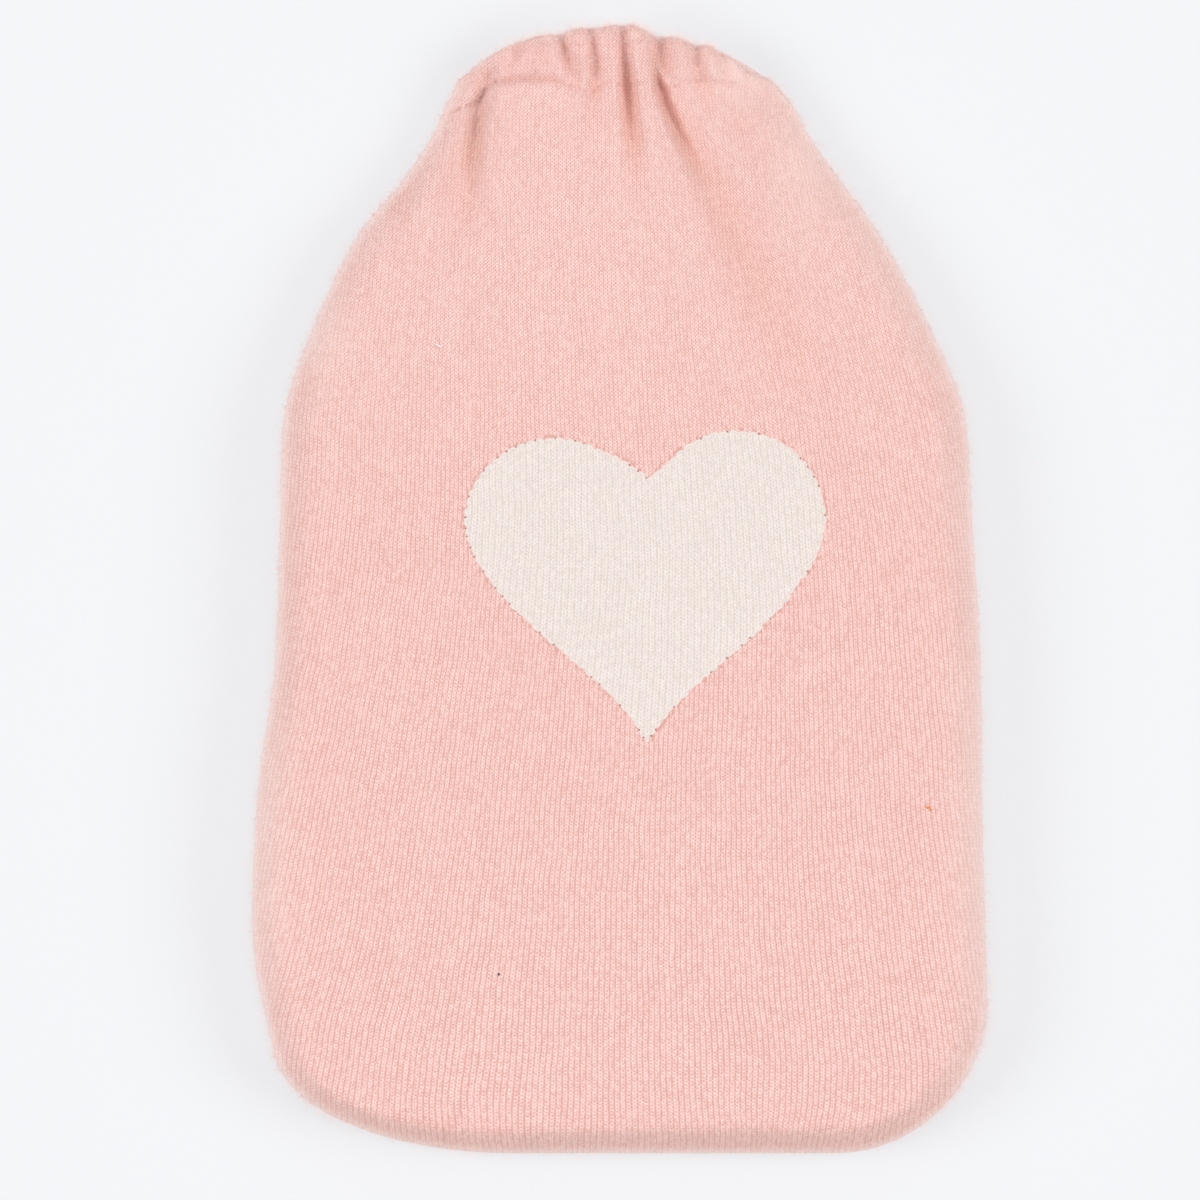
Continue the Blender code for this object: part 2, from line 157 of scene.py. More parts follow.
# Folds as soft troughs on a curve through a top, a bend and a foot. width is the trough's half
# width at its top, spread that at its foot; start is the share of its depth that it has at its
# top; ridge is the height of the cloth pushed up beside it, and lean says on which side: -1
# left, 1 right, 0 both
Fold = namedtuple(
    "Fold", "name top_x top_up bend_x bend_up foot_x foot_up width spread depth start ridge lean"
)
FRONT_FOLDS = (
    Fold("left_fold", -40.0, 324.5, -43.5, 316.0, -47.5, 268.0, 2.0, 4.2, 5.0, 0.5, 1.0, 0.9),
    Fold("left_valley", -44.0, 316.0, -45.5, 300.0, -49.0, 262.0, 3.4, 8.0, 1.8, 0.4, 0.3, 0.6),
    Fold("left_gather", -18.5, 341.0, -16.5, 332.0, -11.0, 316.0, 1.5, 2.6, 2.8, 0.7, 0.6, 0.0),
    Fold("pucker", -9.4, 341.0, -4.6, 328.0, -10.4, 303.0, 1.4, 3.2, 2.8, 0.6, 0.6, 0.0),
    Fold("middle_gather", 0.6, 342.0, 2.4, 320.0, 6.0, 282.0, 1.5, 4.0, 5.2, 0.32, 1.0, 0.5),
    Fold("long_gather", 11.2, 341.0, 4.6, 316.0, 47.5, 264.0, 1.4, 4.6, 4.8, 0.05, 1.0, -0.8),
    Fold("long_valley", 15.0, 318.0, 30.0, 286.0, 69.0, 203.0, 4.5, 14.0, 2.3, 0.4, 0.4, -0.5),
    Fold("right_gather", 22.0, 341.0, 23.8, 326.0, 27.5, 306.0, 1.9, 3.6, 2.6, 0.6, 0.5, 0.0),
    Fold("left_notch", -62.5, 297.0, -66.0, 289.0, -67.5, 277.0, 2.4, 4.0, 2.2, 1.0, 0.5, 0.6),
    Fold("left_shoulder", -101.0, 227.0, -92.0, 231.0, -80.0, 238.0, 4.0, 5.0, 1.0, 1.0, 0.0, 0.0),
    Fold("right_shoulder", 103.0, 226.0, 96.0, 229.0, 86.0, 233.0, 4.0, 5.0, 0.8, 1.0, 0.0, 0.0),
    Fold("left_band_crease", -46.5, 329.0, -44.0, 322.0, -40.6, 319.5, 1.3, 1.6, 1.3, 0.5, 0.3, 0.0),
    Fold("band_dimple", -29.5, 336.0, -31.5, 330.0, -34.5, 323.0, 1.8, 2.4, 1.1, 0.7, 0.3, 0.0),
    Fold("hem_valley", 12.0, 341.0, 12.4, 333.0, 13.0, 316.0, 2.9, 3.2, 4.0, 0.75, 0.3, 0.0),
    Fold("right_dimple", 29.8, 335.0, 31.0, 328.0, 34.0, 318.0, 1.5, 3.0, 1.4, 1.0, 0.3, 0.0),
    Fold("outer_dimple", 37.0, 330.0, 38.0, 325.0, 40.0, 318.0, 1.4, 2.6, 0.9, 1.0, 0.2, 0.0),
    Fold("left_branch", -46.0, 304.0, -50.0, 297.0, -55.0, 280.0, 3.0, 5.0, 0.9, 0.3, 0.1, 0.0),
    Fold("pucker_foot", -9.0, 322.0, -8.6, 316.0, -7.0, 298.0, 2.4, 6.0, 1.1, 0.4, 0.2, 0.0),
    Fold("right_wrinkle", 30.0, 322.0, 35.0, 310.0, 52.0, 280.0, 2.6, 7.0, 0.6, 0.4, 0.2, 0.0),
)
BACK_FOLDS = (
    Fold("back_left", -33.0, 338.0, -34.0, 318.0, -38.0, 290.0, 3.0, 6.0, 1.4, 1.0, 0.0, 0.0),
    Fold("back_inner_left", -14.0, 342.0, -13.0, 322.0, -12.0, 296.0, 3.0, 6.0, 1.6, 1.0, 0.0, 0.0),
    Fold("back_middle", 6.0, 342.0, 7.0, 320.0, 10.0, 285.0, 3.0, 7.0, 1.6, 1.0, 0.0, 0.0),
    Fold("back_right", 29.0, 340.0, 31.0, 318.0, 37.0, 292.0, 3.0, 6.0, 1.4, 1.0, 0.0, 0.0),
)

# The hem's line of stitches: x across, up from the bottom edge, groove: how deep it sits, and
# puff: how far the single cloth swells out just below it
HemPoint = namedtuple("HemPoint", "x up groove puff")
FRONT_HEM = (
    HemPoint(-53.0, 312.6, 0.3, 0.1),
    HemPoint(-46.4, 315.4, 0.6, 0.1),
    HemPoint(-42.2, 316.8, 0.8, 0.2),
    HemPoint(-39.2, 322.4, 1.0, 1.6),
    HemPoint(-30.1, 323.7, 1.4, 1.7),
    HemPoint(-20.5, 323.4, 1.2, 1.2),
    HemPoint(-13.6, 321.2, 0.5, 0.4),
    HemPoint(-9.0, 319.0, 0.8, 0.3),
    HemPoint(-3.6, 322.6, 0.3, 0.3),
    HemPoint(1.5, 321.6, 0.2, 0.0),
    HemPoint(10.5, 322.3, 0.2, 0.2),
    HemPoint(14.2, 320.6, 0.7, 0.0),
    HemPoint(24.1, 323.2, 0.2, 0.2),
    HemPoint(33.2, 322.2, 0.15, 0.2),
    HemPoint(42.2, 319.6, 0.1, 0.1),
    HemPoint(50.0, 316.0, 0.1, 0.0),
)
BACK_HEM = (
    HemPoint(-53.0, 314.0, 0.4, 0.0),
    HemPoint(-34.0, 321.0, 0.8, 0.0),
    HemPoint(0.0, 324.5, 0.9, 0.0),
    HemPoint(34.0, 321.0, 0.8, 0.0),
    HemPoint(50.0, 315.5, 0.4, 0.0),
)

# Mesh steps of both panels, which share their edge points
Steps = namedtuple("Steps", "wall face bottom body shoulder neck hem")
STEPS = Steps(13, 152, 13, 84, 46, 34, 27)
WALL_ROW = 0.04           # row where the bottom wall ends
SHOULDER_ROW = 0.57       # row where the shoulders start
NECK_ROW = 0.81           # row where the gathered neck starts
HEM_ROW = 0.945           # row near which the hem starts
CROWDING = 1.35           # exponent that sets the body's rows closer at the bottom corners
FOLD_SAMPLES = 121        # points along a fold's curve
FOLD_WINDOW = 3.2         # widths to each side in which a fold is worked out,
FOLD_BORDER = 4.0         # and the border round that
BLOCKS = 24               # blocks in which distances to the seam are worked out

# Pale fluff and painted highlight, as a share of its colour, and painted shade that deepens the
# colour in the creases
LEFT_FLUFF_AND_HIGHLIGHT = 0.12         # fluff and painted highlight on the left wall
RIGHT_FLUFF_AND_HIGHLIGHT = 0.28        # and on the right one,
FLUFF_STEP = 40.0         # with a soft step this far to each side of the middle
BOTTOM_FLUFF_AND_HIGHLIGHT = 0.12       # fluff and painted highlight on the bottom wall
FLUFF_REACH = 11.0        # how far in from the seam these reach
BOTTOM_BARE = 30.0        # how far up the bottom wall's share reaches
LIP_FLUFF_AND_HIGHLIGHT = 0.85          # fluff and painted highlight on the seam's lip,
LIP_REACH = 3.4           # and how far in
RIM_FLUFF_AND_HIGHLIGHT = 0.4           # fluff and painted highlight on the rim,
RIM_REACH = 2.6           # and how far in
FOLD_SHADE_DEPTH = 2.6        # depth of a fold at which its cloth mostly has the painted shade
BOTTOM_PAINTED_SHADE = 0.9       # how much of that painted shade the shaded bottom wall has
LINE_START = -46.0        # the hem's stitches can be seen from here
LINE_END = 26.0           # to here on the front,
LINE_FADE = 8.0           # and fade over this distance
BACK_LINE_END = 44.0      # and to here on the back
LINE_HOLES = 0.6          # how dark their holes are
HOLES_X = -44.0           # and here, where they pull larger ones,
HOLES_MORE = 1.2          # how much darker
HOLES_REACH = 4.0         # and over what distance

# Patches of fluff and painted highlight, which fade as bells across and up
Patch = namedtuple("Patch", "x up across high share")
FLUFF_AND_HIGHLIGHT_PATCHES = (
    Patch(40.0, 328.0, 14.0, 9.0, 0.6),
    Patch(58.0, 306.0, 9.0, 18.0, 0.45),
    Patch(26.0, 334.0, 9.0, 6.0, 0.3),
    Patch(3.0, 338.0, 22.0, 3.5, 0.15),
    Patch(-47.0, 318.0, 7.0, 7.0, 0.15),
    Patch(-92.0, 250.0, 9.0, 22.0, 0.4),
    Patch(-109.0, 105.0, 9.0, 70.0, 0.4),
    Patch(111.0, 105.0, 9.0, 80.0, 0.55),
    Patch(106.0, 200.0, 7.0, 25.0, 0.4),
)

# Knit: how the wales fan out towards the bottom and how the courses rise at the sides
WALE_TOP = 1.18           # wale spacing near the mouth
WALE_SLOPE = 0.25         # how it grows towards the bottom edge,
WALE_CURVE = 0.38         # and how that growth itself grows
WALE_REACH = 300.0        # distance up where the spacing is WALE_TOP
SWAY = 5.4                # how far the middle wale strays to the right,
SWAY_UP = 179.0           # where,
SWAY_SPAN = 69.0          # and over what distance
COURSE = 1.04             # course spacing
HEART_WALES = 0.714       # wales of the heart's own coarser knit for each wale of the pink
HEART_COURSES = 0.925     # and its courses for each course
WALL_STRETCH = 0.45       # share of the walls' rise that their stitches cover
UPPER_RISE = 13.0         # rise of the courses in the upper half,
UPPER_OUT = 100.0         # at this distance from the middle
LOWER_RISE = 5.0          # and in the lower half, where they turn up late,
LOWER_OUT = 85.0          # at this one
UPPER_START = 110.0       # the upper half starts here
UPPER_SPAN = 100.0        # with a soft step of this length
LEG_SLANT = 0.7           # courses that a stitch's leg rises from its wale's edge to its middle

# The knit's look. Darkness is 0 for the yarn's colour and 1 for the shadow's; two numbers are
# those of the lower and the upper knit, or else the ends of the range that noise covers
MEAN_DARK = 0.57          # usual darkness of the knit, round which fuzz washes it out
CLOSER_COURSES = (150.0, 270.0)  # courses over which the lower knit turns into the upper
LEG_SIDES = 0.35          # height of a stitch's leg at its sides, as a share of its middle's,
LEG_ENDS = 0.3            # and at its ends
GAP_START = 0.45          # the gap between two wales starts here, 1 being its own middle,
MIDDLE_START = 0.35       # and the line down a wale's middle here, 0 being its middle
DOTS = 0.7                # darkness of the dots between two stitches
DOTS_LESS = 0.3           # share of it that they lack half way across a leg
GAPS = (0.74, 1.02)       # darkness of the gaps, in streaks,
GAPS_LESS = 0.26          # and how much less it is in the upper knit
MIDDLES = (0.24, 0.1)     # darkness of the wales' middles
CHECKS = (0.52, 0.88)     # darkness of the holes that lie in turn in gaps and middles
HEART_PATTERN = (0.7, 0.45, 0.0)  # all three in the heart
BREAKS = (0.84, 1.12)     # how far the gaps break up into dashes
CLEAR = (0.82, 1.04)      # how clear the stitches are in patches,
HEM_CLEARER = 0.3         # and how much clearer in the hem
LEG_GRAIN = 0.5           # how far one leg's darkness differs from the next one's
WALE_STRAY = (1.2, 0.16)  # how far the wales stray slowly, and jitter,
COURSE_STRAY = (2.0, 0.35)  # and the courses
STRAY_SCALE = 0.05        # scales of the noises, for each wale and course
JITTER_SCALE = 0.5
STREAK_SCALES = (0.5, 0.04)
PATCH_SCALE = 0.1
BREAK_SCALE = 1.5
FINE_SCALE = 2.6
SOFT = (0.35, 0.65)       # ranges of a noise that are spread over 0 to 1
SOFTER = (0.3, 0.7)
HOLE_UP = (0.75, 0.25)    # a hole of the hem's stitches fades over this distance from their line
HOLE_ACROSS = (0.34, 0.16)  # and over this share of a wale from its middle,
HOLE_CHANCE = (0.25, 0.55)  # and wales with chance numbers below these lack it
HEART_SOFT = 0.12         # half the width over which the heart's colour turns into the pink
LINK_RING = (-1.6, -1.0, -0.7, -0.3)  # the links' holes fade in and out between these distances
LINK_CHANCE = (0.6, 0.75)
LINK_DARK = 1.8
TUFTS = (0.35, 1.1)       # how unevenly the pale fluff and painted highlight cover the wool
BUMP_FINE = 0.9           # height of the fine fuzz in the bump, a leg being 1,
BUMP_HEIGHT = 0.00035     # the height of a leg, in metres,
BUMP_STRENGTH = 0.55
SHEEN_TINT = (1.0, 0.86, 0.82)   # tint of the fuzz's sheen
SHEEN_ROUGHNESS = 0.55
SPECULAR = 0.25

# How far the wales lean in at the shoulders and the bottom corners: out from which place and
# over what distance across, and from which height and over what distance up, or down if negative
Lean = namedtuple("Lean", "side most start reach up span")
LEANS = (
    Lean(-1, 4.0, 25.0, 55.0, 215.0, 85.0),
    Lean(1, 8.0, 5.0, 65.0, 215.0, 85.0),
    Lean(-1, 5.0, 15.0, 30.0, 24.0, -48.0),
    Lean(-1, -3.0, 20.0, 40.0, 75.0, -50.0),
    Lean(1, 11.0, 20.0, 50.0, 34.0, -60.0),
)

# The heart: two round lobes, a cleft between them, and two flanks that sway a little on their
# way down to the tip. Places are across and up from the bottom edge
Lobe = namedtuple("Lobe", "x up across high start end")
LEFT_LOBE = Lobe(-19.8, 190.6, 26.4, 24.3, 210.0, 57.0)
RIGHT_LOBE = Lobe(35.0, 191.0, 26.3, 26.2, 141.0, -44.0)
CLEFT = (8.4, 202.6)
TIP = (8.1, 124.4)
LEFT_SWAY = 17.5          # S-shaped sway of the left flank, out near the lobe, in at the tip
RIGHT_SWAY = 13.5         # and of the right one
CLEFT_SWELLS = (0.9, 0.3)  # how far the left and right lobe swell on their way to the cleft
FLANK_POINTS = 60         # points along each flank and lobe,
CLEFT_POINTS = 14         # and along each side of the cleft
LEFT_LINKS = 0.62         # share of the places between its edge's stitches where a link shows
RIGHT_LINKS = 0.3         # left of the cleft, and right of it
LINK_START = 0.25         # how far out from the stitches' ends a link starts,
LINK_LENGTH = 0.65        # and how long it is
HEART_REACH = 75.0        # the outline's distance is worked out this far from the cleft across,
HEART_ABOVE = 32.0        # this far above it
HEART_BELOW = 18.0        # and this far below the tip,
FAR_OUT = -20.0           # and is taken to be this elsewhere

# Stitches. Two numbers are a range in which each one has its own. A tube has this many points
# along it and sides round it
STITCH_POINTS = 8
HEM_POINTS = 6
LINK_POINTS = 4
BIT_POINTS = 6
ROUND_SIDES = 6
THIN_SIDES = 5
STRAY = 0.15              # how far one strays from its place, as a share of a step
LOOP_TURN = 1.75          # half of a linking loop's turn, in radians
LOOP_RADII = (0.75, 0.95)
LOOP_INSET = 1.05         # how far its centre lies inside the outline
LOOP_SLANT = 0.42         # how far each half of it leans along the seam
LOOP_TALL = 1.15          # its height for each millimetre of its reach
HEM_STEP = 1.5            # distance between the hem's stitches
HEM_HALF = 0.55           # half the length of one,
HEM_YARN = 0.17           # its yarn's radius,
HEM_LIFT = 0.22           # how high it bows,
HEM_SUNK = 0.1            # and how deep its ends lie,
HEM_STRAY = 0.2           # how far it strays along the line,
HEM_TILT = 0.35           # and by how much it slants
HEM_TAPER = 0.5           # share of its radius that a stitch loses towards its ends
HEART_BOWS = (0.2, 0.8)   # how far the heart's stitches bow out,
HEART_INSET = 0.35        # how far in from the outline their ends lie,
HEART_LENGTHS = (0.85, 1.1)  # their lengths, as shares of the step between them,
HEART_YARN = (0.42, 0.52)
HEART_TAPER = 0.4
HEART_LIFT = 0.16         # how high they bow
HEART_SUNK = 0.31         # and how deep their ends lie
LINK_YARN = (0.22, 0.34)
LINK_TAPER = 0.5
LINK_LIFT = 0.14          # how high a link bows
LINK_SUNK = 0.12          # and how deep its ends lie

# Loose fibres: rows and columns are the first and the last, and how fibres crowd to the first
Area = namedtuple("Area", "name count rows columns spread")
FIBRE_ROOT = 0.05         # depth of a fibre's root
FIBRE_BOW = 0.35          # how far it bows, as a share of its length
FIBRE_FLOOR = 0.06        # least height above the floor
FIBRE_RADII = (0.7, 1.3)  # its radius at its root, as shares of the usual one,
FIBRE_TAPER = np.array([1.0, 0.85, 0.35])  # and from there to its tip
FIBRE_SPAN = (0.25, 2.2)  # least and greatest length, as shares of the usual one

# Bits of lint and specks that lie on the face: place, length, turn in degrees, and colour
Bit = namedtuple("Bit", "name x up length turn radius colour")
BITS = (
    Bit("white_lint", -54.7, 242.6, 2.5, -28.0, 0.33, (246, 232, 232)),
    Bit("white_lint_end", -53.7, 242.7, 1.7, 35.0, 0.27, (242, 232, 234)),
    Bit("dark_speck", -36.2, 54.3, 0.9, 60.0, 0.30, (84, 60, 62)),
    Bit("orange_speck", 92.5, 104.0, 1.9, -38.0, 0.32, (230, 146, 76)),
)
BIT_BOW = 0.22            # how far they bow, as a share of their length
BIT_PAINTED_GLOW = 0.05           # painted glow, an emission that stands in for the light that passes through them

# The stage, in metres
FLOOR_HALF = 4.0          # half the floor's side
FLOOR_HEIGHT = -0.0002
CAMERA_PLACE = (-0.0060, -0.0033)  # the spot right under the camera


# ---------------------------------------------------------------- shape functions


def section_values(column, row):
    """Smooth value of one column of SECTIONS at each row: cubic pieces through the table,
    each with the slopes of its neighbours' chords."""
    knots = np.array([section.row for section in SECTIONS])
    values = np.array([getattr(section, column) for section in SECTIONS])
    slopes = np.gradient(values, knots)
    row = np.asarray(row, dtype=float)
    piece = np.clip(np.searchsorted(knots, row, side="right") - 1, 0, len(knots) - 2)
    span = knots[piece + 1] - knots[piece]
    t = (row - knots[piece]) / span
    start_value = (1 + 2 * t) * (1 - t) ** 2 * values[piece]
    end_value = t ** 2 * (3 - 2 * t) * values[piece + 1]
    start_slope = t * (1 - t) ** 2 * span * slopes[piece]
    end_slope = t ** 2 * (t - 1) * span * slopes[piece + 1]
    return start_value + end_value + start_slope + end_slope


def smoothstep(t):
    """0 below 0, 1 above 1, and a soft step between: t squared times (3 less 2 t)."""
    t = np.clip(t, 0.0, 1.0)
    return t * t * (3.0 - 2.0 * t)


def fading(t):
    """1 below 0, 0 above 1, and a soft step between."""
    return 1.0 - smoothstep(t)


def bell(t):
    """Bell-shaped curve: 1 at 0, and falling off by the square of the distance."""
    return np.exp(-t ** 2)


def between(share, first, last):
    """Value part of the way from first to last."""
    return first + (last - first) * share


def quarter_turn(count):
    """Insets of a rounded edge, from 0 to 1, at even steps of its turn: 1 less a cosine."""
    return 1.0 - np.cos(np.linspace(0.0, math.pi / 2, count + 1))


def across_shares():
    """Columns of a panel as three shares: of the left wall, the face and the right wall."""
    turn = quarter_turn(STEPS.wall)
    face = np.linspace(0.0, 1.0, STEPS.face + 1)
    left = np.concatenate([turn, np.ones(STEPS.face + STEPS.wall)])
    middle = np.concatenate([np.zeros(STEPS.wall), face, np.ones(STEPS.wall)])
    right = np.concatenate([np.zeros(STEPS.wall + STEPS.face), 1.0 - turn[::-1]])
    return left, middle, right


def row_places():
    """Rows of a panel from the bottom edge to the rim, closer in its walls and its hem."""
    bottom = WALL_ROW * quarter_turn(STEPS.bottom)
    crowded = np.linspace(0.0, 1.0, STEPS.body + 1) ** CROWDING
    body = between(crowded, WALL_ROW, SHOULDER_ROW)
    shoulder = np.linspace(SHOULDER_ROW, NECK_ROW, STEPS.shoulder + 1)
    neck = np.linspace(NECK_ROW, HEM_ROW, STEPS.neck + 1)
    hem = between(np.sin(np.linspace(0.0, math.pi / 2, STEPS.hem + 1)), HEM_ROW, 1.0)
    return np.concatenate([bottom, body[1:], shoulder[1:], neck[1:], hem[1:]])


def round_corner(x, up, left, right, corner):
    """Square corner of the grid drawn in to a quarter of an ellipse."""
    edge = left if corner.side < 0 else right
    outward = corner.side * x
    a = np.clip(1.0 - (edge - outward) / corner.across, 0.0, 1.0)
    b = np.clip(1.0 - up / corner.up, 0.0, 1.0)
    drawn_a = a * np.sqrt(1.0 - b * b / 2)
    drawn_b = b * np.sqrt(1.0 - a * a / 2)
    inside = (a > 0) & (b > 0)
    new_x = corner.side * (edge - corner.across * (1.0 - drawn_a))
    new_up = corner.up * (1.0 - drawn_b)
    return np.where(inside, new_x, x), np.where(inside, new_up, up)


def plan(shares, row):
    """Place of each grid point seen from above: across between the section's half widths, and
    up by the section's row plus an arch that falls off as a power of the share across."""
    left_share, face_share, right_share = shares
    left = section_values("left", row)
    right = section_values("right", row)
    edge = section_values("edge", row)
    face = left + right - 2 * edge
    x = -left + edge * (left_share + right_share) + face * face_share
    reach = np.where(x < 0, np.abs(x / left) ** LEFT_ARCH, np.abs(x / right) ** RIGHT_ARCH)
    up = section_values("up", row) + section_values("arch", row) * (1.0 - reach)
    for corner in CORNERS:
        x, up = round_corner(x, up, left, right, corner)
    return x, up


def seam_line(x, up):
    """The seam from the left of the mouth, round the bottom, to the right of the mouth."""
    grid = np.stack([x, up], axis=-1)
    return np.concatenate([grid[::-1, 0], grid[0, 1:-1], grid[:, -1]])


def nearest_on_line(point, line):
    """Distance of each point from a broken line, with the nearest piece and the share along
    it, worked out for a block of points at a time."""
    start = line[:-1]
    along = line[1:] - start
    length = np.maximum(np.hypot(along[:, 0], along[:, 1]), TINY)
    found = []
    for block in np.array_split(point, BLOCKS):
        offset = block[:, None, :] - start[None]
        share = np.clip((offset * along[None]).sum(2) / length[None] ** 2, 0.0, 1.0)
        away = offset - share[:, :, None] * along[None]
        distance = np.hypot(away[:, :, 0], away[:, :, 1])
        nearest = distance.argmin(1)
        pick = np.arange(len(block))
        found.append((distance[pick, nearest], nearest, share[pick, nearest]))
    return [np.concatenate(parts) for parts in zip(*found)]


def edge_distance(x, up):
    """Distance of each grid point from the seam's line, with the inward direction there."""
    line = seam_line(x, up)
    along = np.diff(line, axis=0)
    length = np.hypot(along[:, 0], along[:, 1])
    inward = np.stack([-along[:, 1], along[:, 0]], axis=1) / length[:, None]
    corner_inward = np.concatenate([inward[:1], inward[:-1] + inward[1:], inward[-1:]])
    corner_inward /= np.linalg.norm(corner_inward, axis=1)[:, None]
    point = np.stack([x.ravel(), up.ravel()], axis=1)
    distance, nearest, share = nearest_on_line(point, line)
    share = share[:, None]
    direction = (1 - share) * corner_inward[nearest] + share * corner_inward[nearest + 1]
    direction /= np.linalg.norm(direction, axis=1)[:, None]
    return distance.reshape(x.shape), direction.reshape(x.shape + (2,))


def fold_shape(x, up, folds):
    """Depth of the folds at each point, and height of the cloth that they push up.
    Each fold is a bell-shaped trough round a curve of the second degree, which fades and
    widens from its top to its foot; beside it a lower bell stands up on one or both sides."""
    trough = np.zeros_like(x)
    raised = np.zeros_like(x)
    t = np.linspace(0.0, 1.0, FOLD_SAMPLES)
    for fold in folds:
        top, bend, foot = (1 - t) ** 2, 2 * t * (1 - t), t ** 2
        line_x = top * fold.top_x + bend * fold.bend_x + foot * fold.foot_x
        line_up = top * fold.top_up + bend * fold.bend_up + foot * fold.foot_up
        reach = FOLD_WINDOW * max(fold.width, fold.spread) + FOLD_BORDER
        near = (
            (x > line_x.min() - reach) & (x < line_x.max() + reach)
            & (up > line_up.min() - reach) & (up < line_up.max() + reach)
        )
        away_x = x[near][:, None] - line_x
        away_up = up[near][:, None] - line_up
        away = np.hypot(away_x, away_up)
        nearest = away.argmin(-1)
        pick = np.arange(len(nearest))
        side_x = -np.gradient(line_up)[nearest]
        side_up = np.gradient(line_x)[nearest]
        side = away_x[pick, nearest] * side_x + away_up[pick, nearest] * side_up
        side = np.tanh(side / (np.hypot(side_x, side_up) * fold.width))
        place = t[nearest]
        fade = 1.0 - smoothstep(place) ** FOLD_FALL
        fade = fade * between(smoothstep(place / FOLD_GROWTH), fold.start, 1.0)
        share = away[pick, nearest] / between(place ** 2, fold.width, fold.spread)
        trough[near] = np.maximum(trough[near], fold.depth * fade * bell(share))
        bank = bell((share - BANK_PLACE) / BANK_WIDTH) * (1.0 + fold.lean * side)
        raised[near] += fold.ridge * fade * bank
    return trough, raised


def hem_values(x, hem):
    """The hem's stitch line, its groove's depth and the swelling below it at each x, read
    between the rows of its table."""
    table_x = [point.x for point in hem]
    return [
        np.interp(x, table_x, [getattr(point, column) for point in hem])
        for column in ("up", "groove", "puff")
    ]


def slack(x, up):
    """Slow unevenness of the cloth: the mean of pairs of waves that are multiplied."""
    pairs = [
        [np.sin(x / across + up / high + start) for across, high, start in pair]
        for pair in RIPPLES
    ]
    return RIPPLE * sum(first * second / len(pairs) for first, second in pairs)


def side_turn(t):
    """Share of its full rise that the rounded side wall has at a share t of its width: a
    quarter of a squarish ellipse."""
    return (1.0 - (1.0 - t) ** SQUARENESS) ** (1.0 / SQUARENESS)


def bottom_turn(t):
    """The same for the bottom: a straight slope that a crease joins to the level face."""
    slope = np.maximum(t, SMALL) / SLOPE_SHARE
    full = 1.0 / (SLOPE_SHARE ** CREASE_SHARPNESS + 1.0) ** (1.0 / CREASE_SHARPNESS)
    return (slope ** -CREASE_SHARPNESS + 1.0) ** (-1.0 / CREASE_SHARPNESS) / full


def panel_grid(folds, hem, cloth, hem_cloth, slip):
    """Plan, edge distance, folds, hem and thickness on one panel's grid, as arrays by name.
    The rim dips at each fold, and by a bell in each notch and where it has slipped down."""
    row = row_places()[:, None] + np.zeros(STEPS.face + 2 * STEPS.wall + 1)
    shares = [share[None, :] + np.zeros_like(row) for share in across_shares()]
    x, up = plan(shares, row)
    distance, inward = edge_distance(x, up)
    fade = smoothstep(distance / FOLD_MARGIN)
    trough, raised = fold_shape(x, up, folds)
    trough = trough * fade
    line, groove, puff = hem_values(x, hem)
    above = up - line
    place = np.clip(above / (up[-1:] - line[-1:]), 0.0, 1.0)
    from_rim = up[-1:] - up
    slipped = slip * bell((x - SLIP_X) / SLIP_REACH)
    for notch in NOTCHES:
        slipped = slipped + notch.depth * bell((x - notch.x) / notch.reach)
    slipped = slipped * fade
    up = up - (RIM_DIP * trough + slipped) * place
    share = smoothstep(above / HEM_START) * smoothstep(distance / HEM_END)
    thick = between(share, cloth, hem_cloth)
    inner_trough = trough * between(share, FOLD_INSIDE, HEM_FOLD_INSIDE)
    turned = np.clip(1.0 - from_rim / RIM_ROUND, 0.0, 1.0)
    rounded = 1.0 - np.sqrt(1.0 - ((1.0 - RIM_FLAT) * turned) ** 2)
    return {
        "row": row, "x": x, "up": up, "distance": distance, "inward": inward, "fade": fade,
        "trough": trough, "raised": raised, "inner_trough": inner_trough, "thick": thick,
        "above": above, "place": place, "groove": groove, "puff": puff,
        "rim": rounded * thick / 2, "fluff_and_highlight": fluff_and_highlight_share(x, up, distance, from_rim),
        "painted_fold_shade": painted_fold_shade_share(trough, up, distance),
        "stitched": stitched_share(x),
    }


def fluff_and_highlight_share(x, up, distance, from_rim):
    """How much pale fluff and painted highlight show: on the walls, with soft steps from the left
    one to the right one and to the bottom, on the seam's lip and the rim, and in patches."""
    to_right = smoothstep((x + FLUFF_STEP) / (2 * FLUFF_STEP))
    side = between(to_right, LEFT_FLUFF_AND_HIGHLIGHT, RIGHT_FLUFF_AND_HIGHLIGHT)
    wall = between(smoothstep(up / BOTTOM_BARE), BOTTOM_FLUFF_AND_HIGHLIGHT, side)
    fluff_and_highlight = wall * fading(distance / FLUFF_REACH)
    fluff_and_highlight = np.maximum(fluff_and_highlight, LIP_FLUFF_AND_HIGHLIGHT * fading(distance / LIP_REACH))
    fluff_and_highlight = np.maximum(fluff_and_highlight, RIM_FLUFF_AND_HIGHLIGHT * fading(from_rim / RIM_REACH))
    for patch in FLUFF_AND_HIGHLIGHT_PATCHES:
        away = np.hypot((x - patch.x) / patch.across, (up - patch.up) / patch.high)
        fluff_and_highlight = np.maximum(fluff_and_highlight, patch.share * bell(away))
    return fluff_and_highlight


def painted_fold_shade_share(trough, up, distance):
    """How much painted shade deepens the wool's colour: in the folds by a falling power of their
    depth, and evenly on the shaded bottom wall."""
    folds = 1.0 - np.exp(-trough / FOLD_SHADE_DEPTH)
    shaded = fading(up / BOTTOM_BARE) * fading(distance / FLUFF_REACH)
    return np.maximum(folds, BOTTOM_PAINTED_SHADE * shaded)


